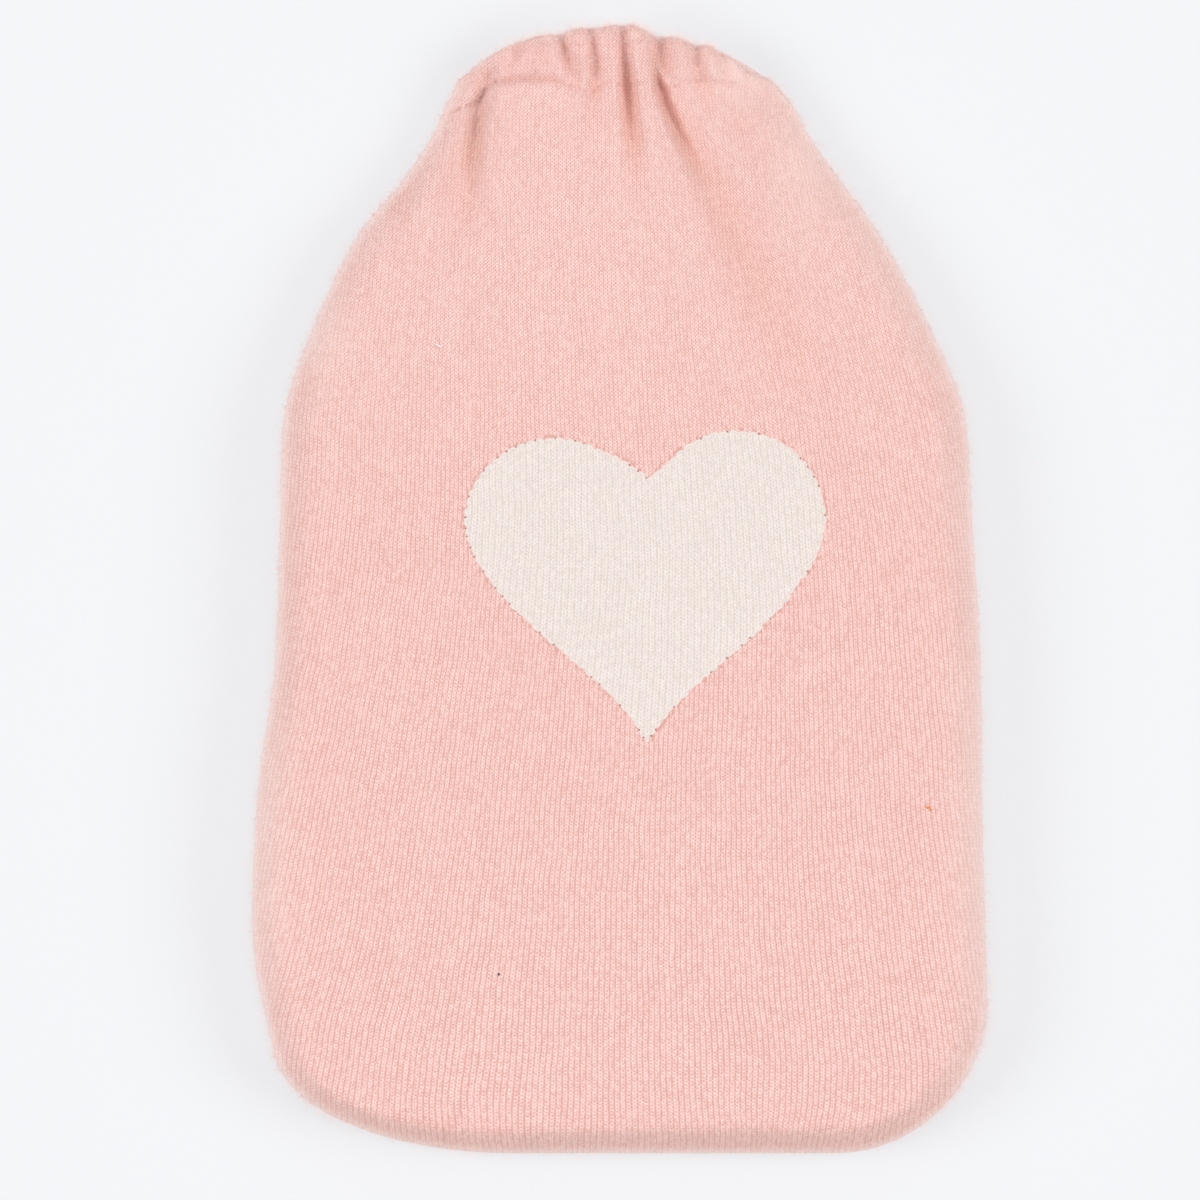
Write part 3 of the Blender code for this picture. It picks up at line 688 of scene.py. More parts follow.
def stitched_share(x):
    """How plainly the hem's line of stitches shows: evenly, with a bell where it pulls larger
    holes, and a soft end at the right."""
    pulled = LINE_HOLES + HOLES_MORE * bell((x - HOLES_X) / HOLES_REACH)
    return pulled * fading((x - LINE_END) / LINE_FADE)


def hem_relief(grid):
    """How far the cloth stands out round the hem: a bell-shaped groove at the stitches, the
    root of half a sine wave in the band, and below the stitches a swelling that starts with
    a soft step and fades as a bell."""
    above = grid["above"]
    groove = -grid["groove"] * bell(above / GROOVE_WIDTH)
    band = HEM_BULGE * np.sqrt(np.sin(math.pi * grid["place"]).clip(0.0))
    beyond = np.maximum(-above - PUFF_START, 0.0)
    puff = smoothstep(-above / PUFF_START) * bell(beyond / PUFF_FADE)
    return groove + band + grid["puff"] * puff


def knit_coordinates(points):
    """Wale and course number of each grid point. The flat distances are the lengths of the
    surface's own steps, summed along the rows and the columns; wales are their distance from
    a swaying middle wale, over a spacing that grows towards the bottom, and courses their
    distance up less the rise at the sides, over the course spacing. Soft steps lean the wales
    in at the shoulders and the corners, and the knit is stretched over the walls' rise."""
    x, up, z = points[..., 0], points[..., 1], WALL_STRETCH * points[..., 2]
    across = np.hypot(np.diff(x, axis=1), np.diff(z, axis=1))
    across = np.pad(np.cumsum(across, axis=1), ((0, 0), (1, 0)))
    middle = x.shape[1] // 2
    flat_x = x[:, middle:middle + 1] + across - across[:, middle:middle + 1]
    along = np.hypot(np.diff(up, axis=0), np.diff(z, axis=0))
    along = np.pad(np.cumsum(along, axis=0), ((1, 0), (0, 0)))
    start = STEPS.bottom + STEPS.body // 2
    flat_up = up[start:start + 1] + along - along[start:start + 1]
    s = (WALE_REACH - up) / WALE_REACH
    spacing = WALE_TOP + WALE_SLOPE * s + WALE_CURVE * s * s
    sway = SWAY * bell((up - SWAY_UP) / SWAY_SPAN)
    for lean in LEANS:
        share = smoothstep((lean.side * x - lean.start) / lean.reach)
        share = share * smoothstep((up - lean.up) / lean.span)
        flat_x = flat_x + lean.side * lean.most * share
    wale = (flat_x - sway) / spacing
    out = np.clip(np.abs(x), 0.0, UPPER_OUT)
    upper = smoothstep((up - UPPER_START) / UPPER_SPAN)
    rise = UPPER_RISE * (out / UPPER_OUT) ** 2 * upper
    rise = rise + LOWER_RISE * (out / LOWER_OUT) ** 5 * (1 - upper)
    course = (flat_up - rise) / COURSE
    return np.stack([wale, course], axis=-1)


def sheet_surfaces(grid, height, trough, sideways, inner_side):
    """Outer and inner grid of a panel from its height. Both move by the trough, the rim's
    rounding and the thickness: up or down on the face, and inwards where it stands sideways,
    by the two sides of a quarter turn. inner_side is 1 where the inside is up, or -1."""
    upright = inner_side * np.sqrt(1.0 - sideways ** 2)
    outer_z = height + (trough + grid["rim"]) * upright
    inner_z = height + (grid["thick"] + grid["inner_trough"] - grid["rim"]) * upright
    outer = np.stack([grid["x"], grid["up"], outer_z], axis=-1)
    inner_plan = outer[..., :2] + grid["inward"] * (grid["thick"] * sideways)[..., None]
    return outer, np.concatenate([inner_plan, inner_z[..., None]], axis=-1), grid


@lru_cache(maxsize=None)
def front_panel_shape(cloth, hem_cloth):
    """Outer and inner surface of the front panel as grids of points, and its other arrays.
    The face is the section's height less a parabola, with the hem, folds and slack on it; the
    walls bring it down to the seam along their turn."""
    grid = panel_grid(FRONT_FOLDS, FRONT_HEM, cloth, hem_cloth, SLIP)
    row, x, distance = grid["row"], grid["x"], grid["distance"]
    end_on = np.clip(grid["inward"][..., 1], 0.0, 1.0) ** 2
    to_right = smoothstep((x - BOTTOM_START) / BOTTOM_SPAN)
    bottom = between(to_right, BOTTOM_LEFT, BOTTOM_RIGHT)
    edge = section_values("edge", row) * (1.0 - end_on) + bottom * end_on
    t = np.clip(distance / edge, 0.0, 1.0)
    turn = side_turn(t) * (1.0 - end_on) + bottom_turn(t) * end_on
    reach = np.where(x < 0, x / section_values("left", row), x / section_values("right", row))
    seam = SEAM_HEIGHT + SEAM_GAP / 2
    relief = hem_relief(grid) + grid["raised"] * grid["fade"] + slack(x, grid["up"])
    crown = section_values("height", row) - FACE_DROP * reach ** 2 + relief
    return sheet_surfaces(grid, between(turn, seam, crown), grid["trough"], 1.0 - t, -1.0)


@lru_cache(maxsize=None)
def back_panel_shape(cloth, hem_cloth):
    """Outer and inner surface of the back panel, which lies flat and turns up in a quarter
    of a circle to the seam."""
    grid = panel_grid(BACK_FOLDS, BACK_HEM, cloth, hem_cloth, 0.0)
    seam = SEAM_HEIGHT - SEAM_GAP / 2
    sideways = np.clip(1.0 - grid["distance"] / BACK_EDGE, 0.0, 1.0)
    groove = grid["groove"] * bell(grid["above"] / GROOVE_WIDTH)
    height = seam * (1.0 - np.sqrt(1.0 - sideways ** 2))
    return sheet_surfaces(grid, height, grid["trough"] + BACK_GROOVE * groove, sideways, 1.0)


def surface_normals(points, flip=False):
    """Unit normals of a grid of points: the cross product of its two gradients."""
    normal = np.cross(np.gradient(points, axis=1), np.gradient(points, axis=0))
    normal /= np.maximum(np.linalg.norm(normal, axis=-1), TINY)[..., None]
    return -normal if flip else normal


def grid_read(values, i, j):
    """Values of a grid between its points: a weighted mean of the four round each place."""
    i = np.clip(i, 0, values.shape[0] - INSIDE_LAST)
    j = np.clip(j, 0, values.shape[1] - INSIDE_LAST)
    low_i, low_j = i.astype(int), j.astype(int)
    a, b = (i - low_i)[:, None], (j - low_j)[:, None]
    near = values[low_i, low_j] * (1 - b) + values[low_i, low_j + 1] * b
    far = values[low_i + 1, low_j] * (1 - b) + values[low_i + 1, low_j + 1] * b
    return near * (1 - a) + far * a


def place_on_face(points, x, up):
    """Grid places (i, j) of spots on the front's face: a first guess from the grid's middle
    column, then twice the place across in the row found, and a step along to meet up."""
    middle = points[:, points.shape[1] // 2, 1]
    steps = np.maximum(np.gradient(middle), 0.1)
    i = np.interp(up, middle, np.arange(len(middle)))
    for _ in range(2):
        low = i.astype(int)
        share = (i - low)[:, None]
        rows_x = points[low, :, 0] * (1 - share) + points[low + 1, :, 0] * share
        j = row_search(rows_x, x)
        there = grid_read(points, i, j)[:, 1]
        i = np.clip(i + (up - there) / steps[low], 0, len(middle) - INSIDE_LAST)
    return i, j


def row_search(rows_x, x):
    """Place along each row where its x passes the given one."""
    j = np.clip((rows_x < x[:, None]).sum(1) - 1, 0, rows_x.shape[1] - 2)
    pick = np.arange(len(x))
    step = rows_x[pick, j + 1] - rows_x[pick, j]
    return j + (x - rows_x[pick, j]) / np.maximum(step, SMALL)


def on_face(face, x, up):
    """Points and normals of a face, given as its two grids, at spots across and up."""
    i, j = place_on_face(face[0], x.ravel(), up.ravel())
    return [grid_read(values, i, j).reshape(x.shape + (3,)) for values in face]


def line_run(line):
    """Distance along a line at each of its points."""
    return np.concatenate([[0.0], np.cumsum(np.hypot(*np.diff(line, axis=0).T))])


def line_read(line, run, at):
    """Points of a line at distances along it."""
    return np.stack([np.interp(at, run, line[:, axis]) for axis in (0, 1)], axis=-1)


def line_ahead(line, run, before, after):
    """Directions of a line, of length 1, from one distance along it to another."""
    ahead = line_read(line, run, after) - line_read(line, run, before)
    return ahead / np.linalg.norm(ahead, axis=-1, keepdims=True)


def taper(place, most):
    """Share of its radius that a stitch has at a place from -1 to 1 along it: less towards
    its ends by the cube."""
    return 1.0 - most * np.abs(place) ** 3


def heart_outline():
    """The heart's outline as a closed ring of points, clockwise from its tip: the left flank,
    the left lobe's part of an ellipse, a swelling line down to the cleft and up again, the
    right lobe's part of an ellipse, and the right flank. Each flank is a straight line plus
    an S of s (1 - s) (1 - 2 s)."""
    def lobe_arc(lobe):
        angle = np.radians(np.linspace(lobe.start, lobe.end, FLANK_POINTS))
        return np.stack([
            lobe.x + lobe.across * np.cos(angle), lobe.up + lobe.high * np.sin(angle),
        ], axis=1)

    def line(start, end, bend, wave, count):
        s = np.linspace(0.0, 1.0, count)[:, None]
        start, end = np.array(start), np.array(end)
        along = (end - start) / np.hypot(*(end - start))
        side = np.array([-along[1], along[0]])
        offset = bend * 4 * s * (1 - s) + wave * s * (1 - s) * (1 - 2 * s)
        return start + s * (end - start) + offset * side

    left, right = lobe_arc(LEFT_LOBE), lobe_arc(RIGHT_LOBE)
    left_flank = line(TIP, left[0], 0.0, -LEFT_SWAY, FLANK_POINTS)
    right_flank = line(right[-1], TIP, 0.0, RIGHT_SWAY, FLANK_POINTS)
    into_cleft = line(left[-1], CLEFT, CLEFT_SWELLS[0], 0.0, CLEFT_POINTS)
    out_of_cleft = line(CLEFT, right[0], CLEFT_SWELLS[1], 0.0, CLEFT_POINTS)
    parts = [left_flank[:-1], left[:-1], into_cleft[:-1], out_of_cleft[:-1], right[:-1]]
    return np.concatenate(parts + [right_flank])


def heart_distance(x, up):
    """Signed distance of each grid point from the heart's outline, positive inside it. A point
    is inside when a level line from it crosses the outline an odd number of times."""
    ring = heart_outline()
    value = np.full(x.shape, FAR_OUT)
    near = (np.abs(x - CLEFT[0]) < HEART_REACH) & (up > TIP[1] - HEART_BELOW)
    near = near & (up < CLEFT[1] + HEART_ABOVE)
    point = np.stack([x[near], up[near]], axis=1)
    distance = nearest_on_line(point, ring)[0]
    a, b = ring[:-1], ring[1:]
    px, py = point[:, :1], point[:, 1:]
    spans = (a[:, 1] > py) != (b[:, 1] > py)
    rise = np.where(a[:, 1] == b[:, 1], TINY, b[:, 1] - a[:, 1])
    crossing = a[:, 0] + (py - a[:, 1]) / rise * (b[:, 0] - a[:, 0])
    inside = (spans & (px < crossing)).sum(1) % 2 == 1
    value[near] = np.where(inside, distance, -distance)
    return value


# ---------------------------------------------------------------- meshes


def to_frame(points):
    """Points across, up and above the floor in millimetres, as points of the frame."""
    return (np.asarray(points) - np.array([0.0, LENGTH / 2, 0.0])) * MM


def add_piece(name, points, faces, material):
    """A mesh object at the origin, from points in millimetres, that rides on the root."""
    mesh = bpy.data.meshes.new(name)
    mesh.from_pydata(to_frame(points).tolist(), [], faces)
    mesh.validate()
    mesh.shade_smooth()
    mesh.materials.append(material)
    piece = bpy.data.objects.new(name, mesh)
    bpy.context.scene.collection.objects.link(piece)
    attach(piece, "root")
    return piece


def put_map(mesh, name, values):
    """A UV map from one pair of numbers at each vertex."""
    corners = np.empty(len(mesh.loops), dtype=np.int32)
    mesh.loops.foreach_get("vertex_index", corners)
    layer = mesh.uv_layers.new(name=name)
    layer.data.foreach_set("uv", values[corners].astype(np.float32).ravel())


def put_value(mesh, name, values):
    """A number at each vertex, as an attribute."""
    layer = mesh.attributes.new(name, "FLOAT", "POINT")
    layer.data.foreach_set("value", values.astype(np.float32).ravel())


def grid_faces(rows, columns, first, flip):
    """Four-sided faces of a grid whose points are numbered row by row from first."""
    i = np.arange(rows - 1)[:, None] * columns + np.arange(columns - 1)[None, :] + first
    quads = np.stack([i, i + 1, i + columns + 1, i + columns], axis=-1).reshape(-1, 4)
    return quads[:, ::-1] if flip else quads


def rim_faces(rows, columns, flip):
    """Faces that close a shell along the four sides of its two grids."""
    index = np.arange(rows * columns).reshape(rows, columns)
    loop = np.concatenate([
        index[0, :], index[1:, -1], index[-1, -2::-1], index[-2:0:-1, 0],
    ])
    after = np.roll(loop, -1)
    below = rows * columns
    quads = np.stack([after, loop, loop + below, after + below], axis=-1)
    return quads[:, ::-1] if flip else quads


def add_shell(name, shape, flip, material):
    """A closed sheet from its outer and inner grid, with its knit map and its attributes."""
    outer, inner, grid = shape
    rows, columns = outer.shape[:2]
    points = np.concatenate([outer.reshape(-1, 3), inner.reshape(-1, 3)])
    faces = np.concatenate([
        grid_faces(rows, columns, 0, flip),
        grid_faces(rows, columns, rows * columns, not flip),
        rim_faces(rows, columns, flip),
    ])
    piece = add_piece(name, points, faces.tolist(), material)
    knit = knit_coordinates(outer).reshape(-1, 2)
    put_map(piece.data, "knit", np.concatenate([knit, knit]))
    for attribute in ("above", "fluff_and_highlight", "painted_fold_shade", "stitched"):
        values = grid[attribute].ravel()
        put_value(piece.data, attribute, np.concatenate([values, values]))
    return piece


def add_tubes(name, paths, radii, sides, side_vector, material):
    """Many short closed tubes: rings of points round each path, at right angles to it, joined
    by four-sided faces and closed by a face at each end. paths is tubes by rings by 3."""
    count, rings = paths.shape[:2]
    along = np.gradient(paths, axis=1)
    along /= np.maximum(np.linalg.norm(along, axis=-1), TINY)[..., None]
    a = side_vector[:, None, :] - (side_vector[:, None, :] * along).sum(-1)[..., None] * along
    a /= np.maximum(np.linalg.norm(a, axis=-1), TINY)[..., None]
    b = np.cross(along, a)
    angle = np.linspace(0.0, 2 * math.pi, sides, endpoint=False)
    ring = a[:, :, None] * np.cos(angle)[:, None] + b[:, :, None] * np.sin(angle)[:, None]
    points = paths[:, :, None] + radii[..., None, None] * ring
    base = (np.arange(count) * rings * sides)[:, None, None]
    k = (np.arange(rings - 1) * sides)[None, :, None]
    m = np.arange(sides)[None, None, :]
    n = (m + 1) % sides
    quads = np.stack([
        base + k + m, base + k + n, base + k + sides + n, base + k + sides + m,
    ], axis=-1).reshape(-1, 4)
    start = base[:, 0] + m[0, :, ::-1]
    end = base[:, 0] + (rings - 1) * sides + m[0]
    faces = quads.tolist() + start.tolist() + end.tolist()
    return add_piece(name, points.reshape(-1, 3), faces, material)


# ---------------------------------------------------------------- materials


def linear(red, green, blue):
    """A display colour, 0 to 255, as a linear one."""
    value = np.array([red, green, blue]) / 255.0
    return tuple(np.where(value <= 0.04045, value / 12.92, ((value + 0.055) / 1.055) ** 2.4))


def opaque(colour, shade=1.0):
    """A linear colour, darkened by a shade, with its opacity."""
    return tuple(shade * part for part in colour) + (1.0,)


class Value:
    """A number or colour that a material's nodes work out. Each sign of arithmetic adds the
    node that does it."""

    def __init__(self, nodes, socket):
        self.nodes = nodes
        self.socket = socket

    def __add__(self, other):
        return self.nodes.math("ADD", self, other)

    def __sub__(self, other):
        return self.nodes.math("SUBTRACT", self, other)

    def __rsub__(self, other):
        return self.nodes.math("SUBTRACT", other, self)

    def __mul__(self, other):
        return self.nodes.math("MULTIPLY", self, other)

    def __abs__(self):
        return self.nodes.math("ABSOLUTE", self)


class Nodes:
    """Short ways to add and join the nodes of one material."""

    def __init__(self, material):
        self.tree = material.node_tree
        self.shader = self.tree.nodes["Principled BSDF"]

    def feed(self, socket, value):
        if isinstance(value, Value):
            self.tree.links.new(value.socket, socket)
        else:
            socket.default_value = value

    def add(self, kind, inputs=None, **settings):
        """A node of a kind, with its settings and its inputs, which are named or numbered."""
        node = self.tree.nodes.new(kind)
        for name, value in settings.items():
            setattr(node, name, value)
        for name, value in (inputs or {}).items():
            self.feed(node.inputs[name], value)
        return node

    def result(self, kind, inputs, output=0, **settings):
        return Value(self, self.add(kind, inputs, **settings).outputs[output])

    def math(self, operation, *values):
        return self.result("ShaderNodeMath", dict(enumerate(values)), operation=operation)

    def fraction(self, value):
        return self.math("FRACT", value)

    def floor(self, value):
        return self.math("FLOOR", value)

    def wave(self, value):
        """Cosine that is 1 at each whole number and -1 half way between two."""
        return self.math("COSINE", value * (2 * math.pi))

    def ramp(self, value, start, end):
        """0 below start, 1 above end, a soft step between; start may be the larger."""
        return self.result(
            "ShaderNodeMapRange", {"Value": value, "From Min": start, "From Max": end},
            "Result", interpolation_type="SMOOTHSTEP")

    def blend(self, share, first, second):
        """Number between two, by share."""
        return share * (second - first) + first

    def mix(self, share, first, second, kind="MIX"):
        """Colour between two, by share; of the kind MULTIPLY, the second tints the first."""
        return self.result(
            "ShaderNodeMix", {0: share, 6: first, 7: second}, 2, data_type="RGBA",
            blend_type=kind)

    def vector(self, x, y):
        return self.result("ShaderNodeCombineXYZ", {0: x, 1: y})

    def noise(self, place, scale, detail=1.0):
        return self.result(
            "ShaderNodeTexNoise", {"Vector": place, "Scale": scale, "Detail": detail}, "Fac",
            noise_dimensions="3D")

    def chance(self, x, y):
        """The same chance number for a whole cell."""
        return self.result(
            "ShaderNodeTexWhiteNoise", {"Vector": self.vector(x, y)}, "Value",
            noise_dimensions="2D")

    def attribute(self, name):
        return self.result("ShaderNodeAttribute", {}, "Fac", attribute_name=name)

    def object_place(self):
        return self.result("ShaderNodeTexCoord", {}, "Object")

    def paint(self, colour):
        self.feed(self.shader.inputs["Base Color"], colour)

    def bump(self, height, distance, strength):
        self.feed(self.shader.inputs["Normal"], self.result(
            "ShaderNodeBump", {"Height": height, "Distance": distance, "Strength": strength}))

    def glow(self, colour, strength):
        self.shader.inputs["Emission Color"].default_value = colour
        self.shader.inputs["Emission Strength"].default_value = strength


def new_material(name, roughness, sheen):
    """A material with its shader's constant sockets set, and its node helper."""
    material = bpy.data.materials.new(name)
    material.use_nodes = True
    nodes = Nodes(material)
    for socket, value in (
        ("Roughness", roughness), ("Specular IOR Level", SPECULAR), ("Sheen Weight", sheen),
        ("Sheen Roughness", SHEEN_ROUGHNESS),
    ):
        nodes.shader.inputs[socket].default_value = value
    return material, nodes


def knit_pattern(nodes, wale, course, gaps, middles, checks):
    """Plain knit: in each wale two slanting legs of every stitch make a V, each a rounded
    bead. gaps says how dark the lines between the wales are, middles how dark the line down
    each wale's middle is, and checks how dark the holes are that lie in turn in the one and
    the other. Returns the height of the yarn, how dark each place is, and a chance number for
    each leg."""
    off_middle = abs(nodes.fraction(wale) - 0.5) * 2.0
    slant = course - off_middle * LEG_SLANT
    ends = nodes.wave(slant) * 0.5 + 0.5
    leg_place = off_middle * 2.0 - 1.0
    leg = 1.0 - leg_place * leg_place
    height = nodes.blend(leg, LEG_SIDES, 1.0) * nodes.blend(ends, 1.0, LEG_ENDS)
    gap = nodes.ramp(off_middle, GAP_START, 1.0) * gaps
    middle = nodes.ramp(off_middle, MIDDLE_START, 0.0) * middles
    dots = ends * DOTS * (1.0 - leg * DOTS_LESS)
    beats = nodes.wave(wale) * nodes.wave(course)
    dark = gap + middle + (dots + beats * checks)
    stitch = nodes.chance(nodes.floor(wale * 2.0), nodes.floor(slant))
    return height, dark, stitch


def knit_material(name, yarn, shadow, fold, pale, heart_yarn=None, heart_shadow=None):
    """Fuzzy wool knit that follows the knit map, whose wales and courses stray and jitter by
    noise. Where heart colours are given, the inlaid heart has them, with larger stitches; the
    wool round it has small holes where the two are linked. A row of small holes follows the
    hem's stitch line, painted shade deepens the wool's colour inside the folds and on the bottom
    wall, and pale fluff with painted highlight stands on the walls, the lip, the rim and the hem."""
    material, nodes = new_material(name, 0.92, 0.35)
    nodes.shader.inputs["Sheen Tint"].default_value = opaque(SHEEN_TINT)
    knit = nodes.result("ShaderNodeUVMap", {}, uv_map="knit")
    split = nodes.add("ShaderNodeSeparateXYZ", {0: knit})
    wale, course = Value(nodes, split.outputs[0]), Value(nodes, split.outputs[1])
    place = nodes.vector(wale, course)
    upper = nodes.ramp(course, *CLOSER_COURSES)
    stray = nodes.noise(place, STRAY_SCALE) - 0.5
    jitter = nodes.noise(place, JITTER_SCALE) - 0.5
    wale = wale + stray * WALE_STRAY[0] + jitter * WALE_STRAY[1]
    course = course + stray * COURSE_STRAY[0] + jitter * COURSE_STRAY[1]
    streaks = nodes.noise(
        nodes.vector(wale * STREAK_SCALES[0], course * STREAK_SCALES[1]), 1.0)
    patches = nodes.noise(place, PATCH_SCALE)
    fine = nodes.noise(place, FINE_SCALE)
    broken = nodes.blend(nodes.ramp(nodes.noise(place, BREAK_SCALE, 0.0), *SOFT), *BREAKS)
    gaps = nodes.blend(nodes.ramp(streaks, *SOFT), *GAPS) - upper * GAPS_LESS
    middles = nodes.blend(upper, *MIDDLES)
    checks = nodes.blend(upper, *CHECKS)
    height, dark, stitch = knit_pattern(nodes, wale, course, gaps * broken, middles, checks)

    above = nodes.attribute("above")
    clear = nodes.blend(nodes.ramp(patches, *SOFTER), *CLEAR)
    clear = clear + nodes.ramp(above, 0.0, 2.0) * HEM_CLEARER
    grain = (stitch - 0.5) * LEG_GRAIN + (fine - 0.5)

    def evened(value):
        """Darkness with fuzz that washes it out round its mean, and with the wool's grain."""
        return clear * (value - MEAN_DARK) + MEAN_DARK + grain

    hole = nodes.ramp(abs(above), *HOLE_UP)
    hole = hole * nodes.ramp(abs(nodes.fraction(wale) - 0.5), *HOLE_ACROSS)
    hole = hole * nodes.ramp(nodes.chance(nodes.floor(wale), 0.5), *HOLE_CHANCE)
    hole = hole * nodes.attribute("stitched")
    dark = evened(dark) + hole

    if heart_yarn is None:
        colour = nodes.mix(dark, yarn, shadow)
    else:
        large_height, large_dark, _ = knit_pattern(
            nodes, wale * HEART_WALES, course * HEART_COURSES, *HEART_PATTERN)
        distance = nodes.attribute("heart")
        inside = nodes.ramp(distance, -HEART_SOFT, HEART_SOFT)
        far, outer, inner, near = LINK_RING
        ring = nodes.ramp(distance, far, outer) * nodes.ramp(distance, near, inner)
        link = ring * nodes.ramp(stitch, *LINK_CHANCE) * height
        wool = nodes.mix(dark + link * LINK_DARK, yarn, shadow)
        cream = nodes.mix(evened(large_dark), heart_yarn, heart_shadow)
        colour = nodes.mix(inside, wool, cream)
        height = nodes.blend(inside, height, large_height)
    # Painted shade: the fold tint multiplies the colour in the folds and on the bottom wall
    colour = nodes.mix(nodes.attribute("painted_fold_shade"), colour, fold, "MULTIPLY")
    tufts = nodes.blend(nodes.ramp(fine, *SOFTER), *TUFTS)
    # Painted highlight: the pale fluff colour is mixed in on the walls, lip, rim and patches, partly
    # real pale fuzz
    nodes.paint(nodes.mix(nodes.attribute("fluff_and_highlight") * tufts, colour, pale))
    nodes.bump(height + fine * BUMP_FINE - hole, BUMP_HEIGHT, BUMP_STRENGTH)
    return material


def yarn_material(name, yarn, shadow):
    """Twisted wool yarn for stitches: thin slanting plies and a fuzzy unevenness."""
    material, nodes = new_material(name, 0.9, 0.3)
    place = nodes.object_place()
    plies = nodes.result(
        "ShaderNodeTexWave", {"Vector": place, "Scale": 900.0, "Distortion": 2.0}, "Fac",
        wave_type="BANDS", bands_direction="DIAGONAL")
    share = plies * 0.3 + nodes.noise(place, 2600.0, 2.0) * 0.4
    nodes.paint(nodes.mix(share, yarn, shadow))
    nodes.bump(share, 0.00012, 0.6)
    return material


def fibre_material(name, pale, deep, glow):
    """Single wool fibres, some paler than others; glow is painted light, an emission that stands in
    for the light that passes through.
    """
    material, nodes = new_material(name, 0.8, 0.2)
    # Painted light: the fibres glow by emission
    nodes.glow(pale, glow)
    share = nodes.ramp(nodes.noise(nodes.object_place(), 420.0), *SOFT)
    nodes.paint(nodes.mix(share, pale, deep))
    return material


def floor_material(colour, glow):
    """Matt pale paper, faintly lit from within so that shadows on it stay light."""
    material, nodes = new_material("studio_paper", 0.9, 0.0)
    nodes.glow(opaque(colour), glow)
    grain = nodes.ramp(nodes.noise(nodes.object_place(), 700.0, 2.0), 0.2, 0.8)
    nodes.paint(nodes.mix(grain, opaque(colour), opaque(colour, 0.995)))
    return material


# ---------------------------------------------------------------- settings


class ClothSettings(bpy.types.PropertyGroup):
    """Sizes and colours of the knitted cloth."""

    thickness: bpy.props.FloatProperty(
        name="Thickness", description="Thickness of the single cloth", default=0.0022,
        unit="LENGTH", precision=5)
    hem_thickness: bpy.props.FloatProperty(
        name="Hem thickness", description="Thickness of the turned hem", default=0.0044,
        unit="LENGTH", precision=5)
    yarn: bpy.props.FloatVectorProperty(
        name="Yarn", description="Colour of the pink wool", size=3, subtype="COLOR",
        default=linear(250, 215, 210))
    shadow: bpy.props.FloatVectorProperty(
        name="Gaps", description="Colour of the pink wool in the gaps between its wales",
        size=3, subtype="COLOR", default=linear(222, 167, 157))
    # Painted shade: tint that deepens the wool's colour in the folds and on the bottom wall
    fold: bpy.props.FloatVectorProperty(
        name="Folds", description="Tint of the pink wool inside its folds", size=3,
        subtype="COLOR", default=linear(250, 234, 225))
    # Pale fluff colour: partly real fuzz, partly painted highlight on the walls, lip, rim and seam
    # loops
    fluff_and_highlight: bpy.props.FloatVectorProperty(
        name="Fluff", description="Colour of the fluff on the walls and the hem", size=3,
        subtype="COLOR", default=linear(255, 236, 230))
    heart: bpy.props.FloatVectorProperty(
        name="Heart", description="Colour of the heart's cream wool", size=3,
        subtype="COLOR", default=linear(241, 230, 226))
    heart_shadow: bpy.props.FloatVectorProperty(
        name="Heart gaps", description="Colour of the cream wool in its gaps", size=3,
        subtype="COLOR", default=linear(220, 206, 199))
    heart_edge: bpy.props.FloatVectorProperty(
        name="Heart edge", description="Colour of the stitches round the heart", size=3,
        subtype="COLOR", default=linear(241, 229, 224))


class StitchSettings(bpy.types.PropertyGroup):
    """Sizes of the stitches that hold the panels, the hem and the heart."""

    seam_step: bpy.props.FloatProperty(
        name="Seam step", description="Distance between the loops that link the panels",
        default=0.0016, unit="LENGTH", precision=5)
    heart_step: bpy.props.FloatProperty(
        name="Heart step", description="Length of the stitches round the heart",
        default=0.0030, unit="LENGTH", precision=5)
    yarn_radius: bpy.props.FloatProperty(
        name="Yarn radius", description="Radius of the linking yarn", default=0.00030,
        unit="LENGTH", precision=5)


class FuzzSettings(bpy.types.PropertyGroup):
    """Loose wool fibres on the cloth."""

    face_count: bpy.props.IntProperty(
        name="Face fibres", description="Number of fibres on the front's face", default=7500)
    side_count: bpy.props.IntProperty(
        name="Side fibres", description="Number of fibres on each side wall", default=8500)
    bottom_count: bpy.props.IntProperty(
        name="Bottom fibres", description="Number of fibres on the bottom wall", default=4000)
    hem_count: bpy.props.IntProperty(
        name="Hem fibres", description="Number of fibres on the hem", default=9000)
    length: bpy.props.FloatProperty(
        name="Length", description="Usual length of a fibre", default=0.0018,
        unit="LENGTH", precision=5)
    radius: bpy.props.FloatProperty(
        name="Radius", description="Radius of a fibre", default=0.000028,
        unit="LENGTH", precision=6)
    # Painted glow: an emission on the fibres that stands in for light passing through them
    glow: bpy.props.FloatProperty(
        name="Glow", description="Light that passes through the fibres", default=0.1)


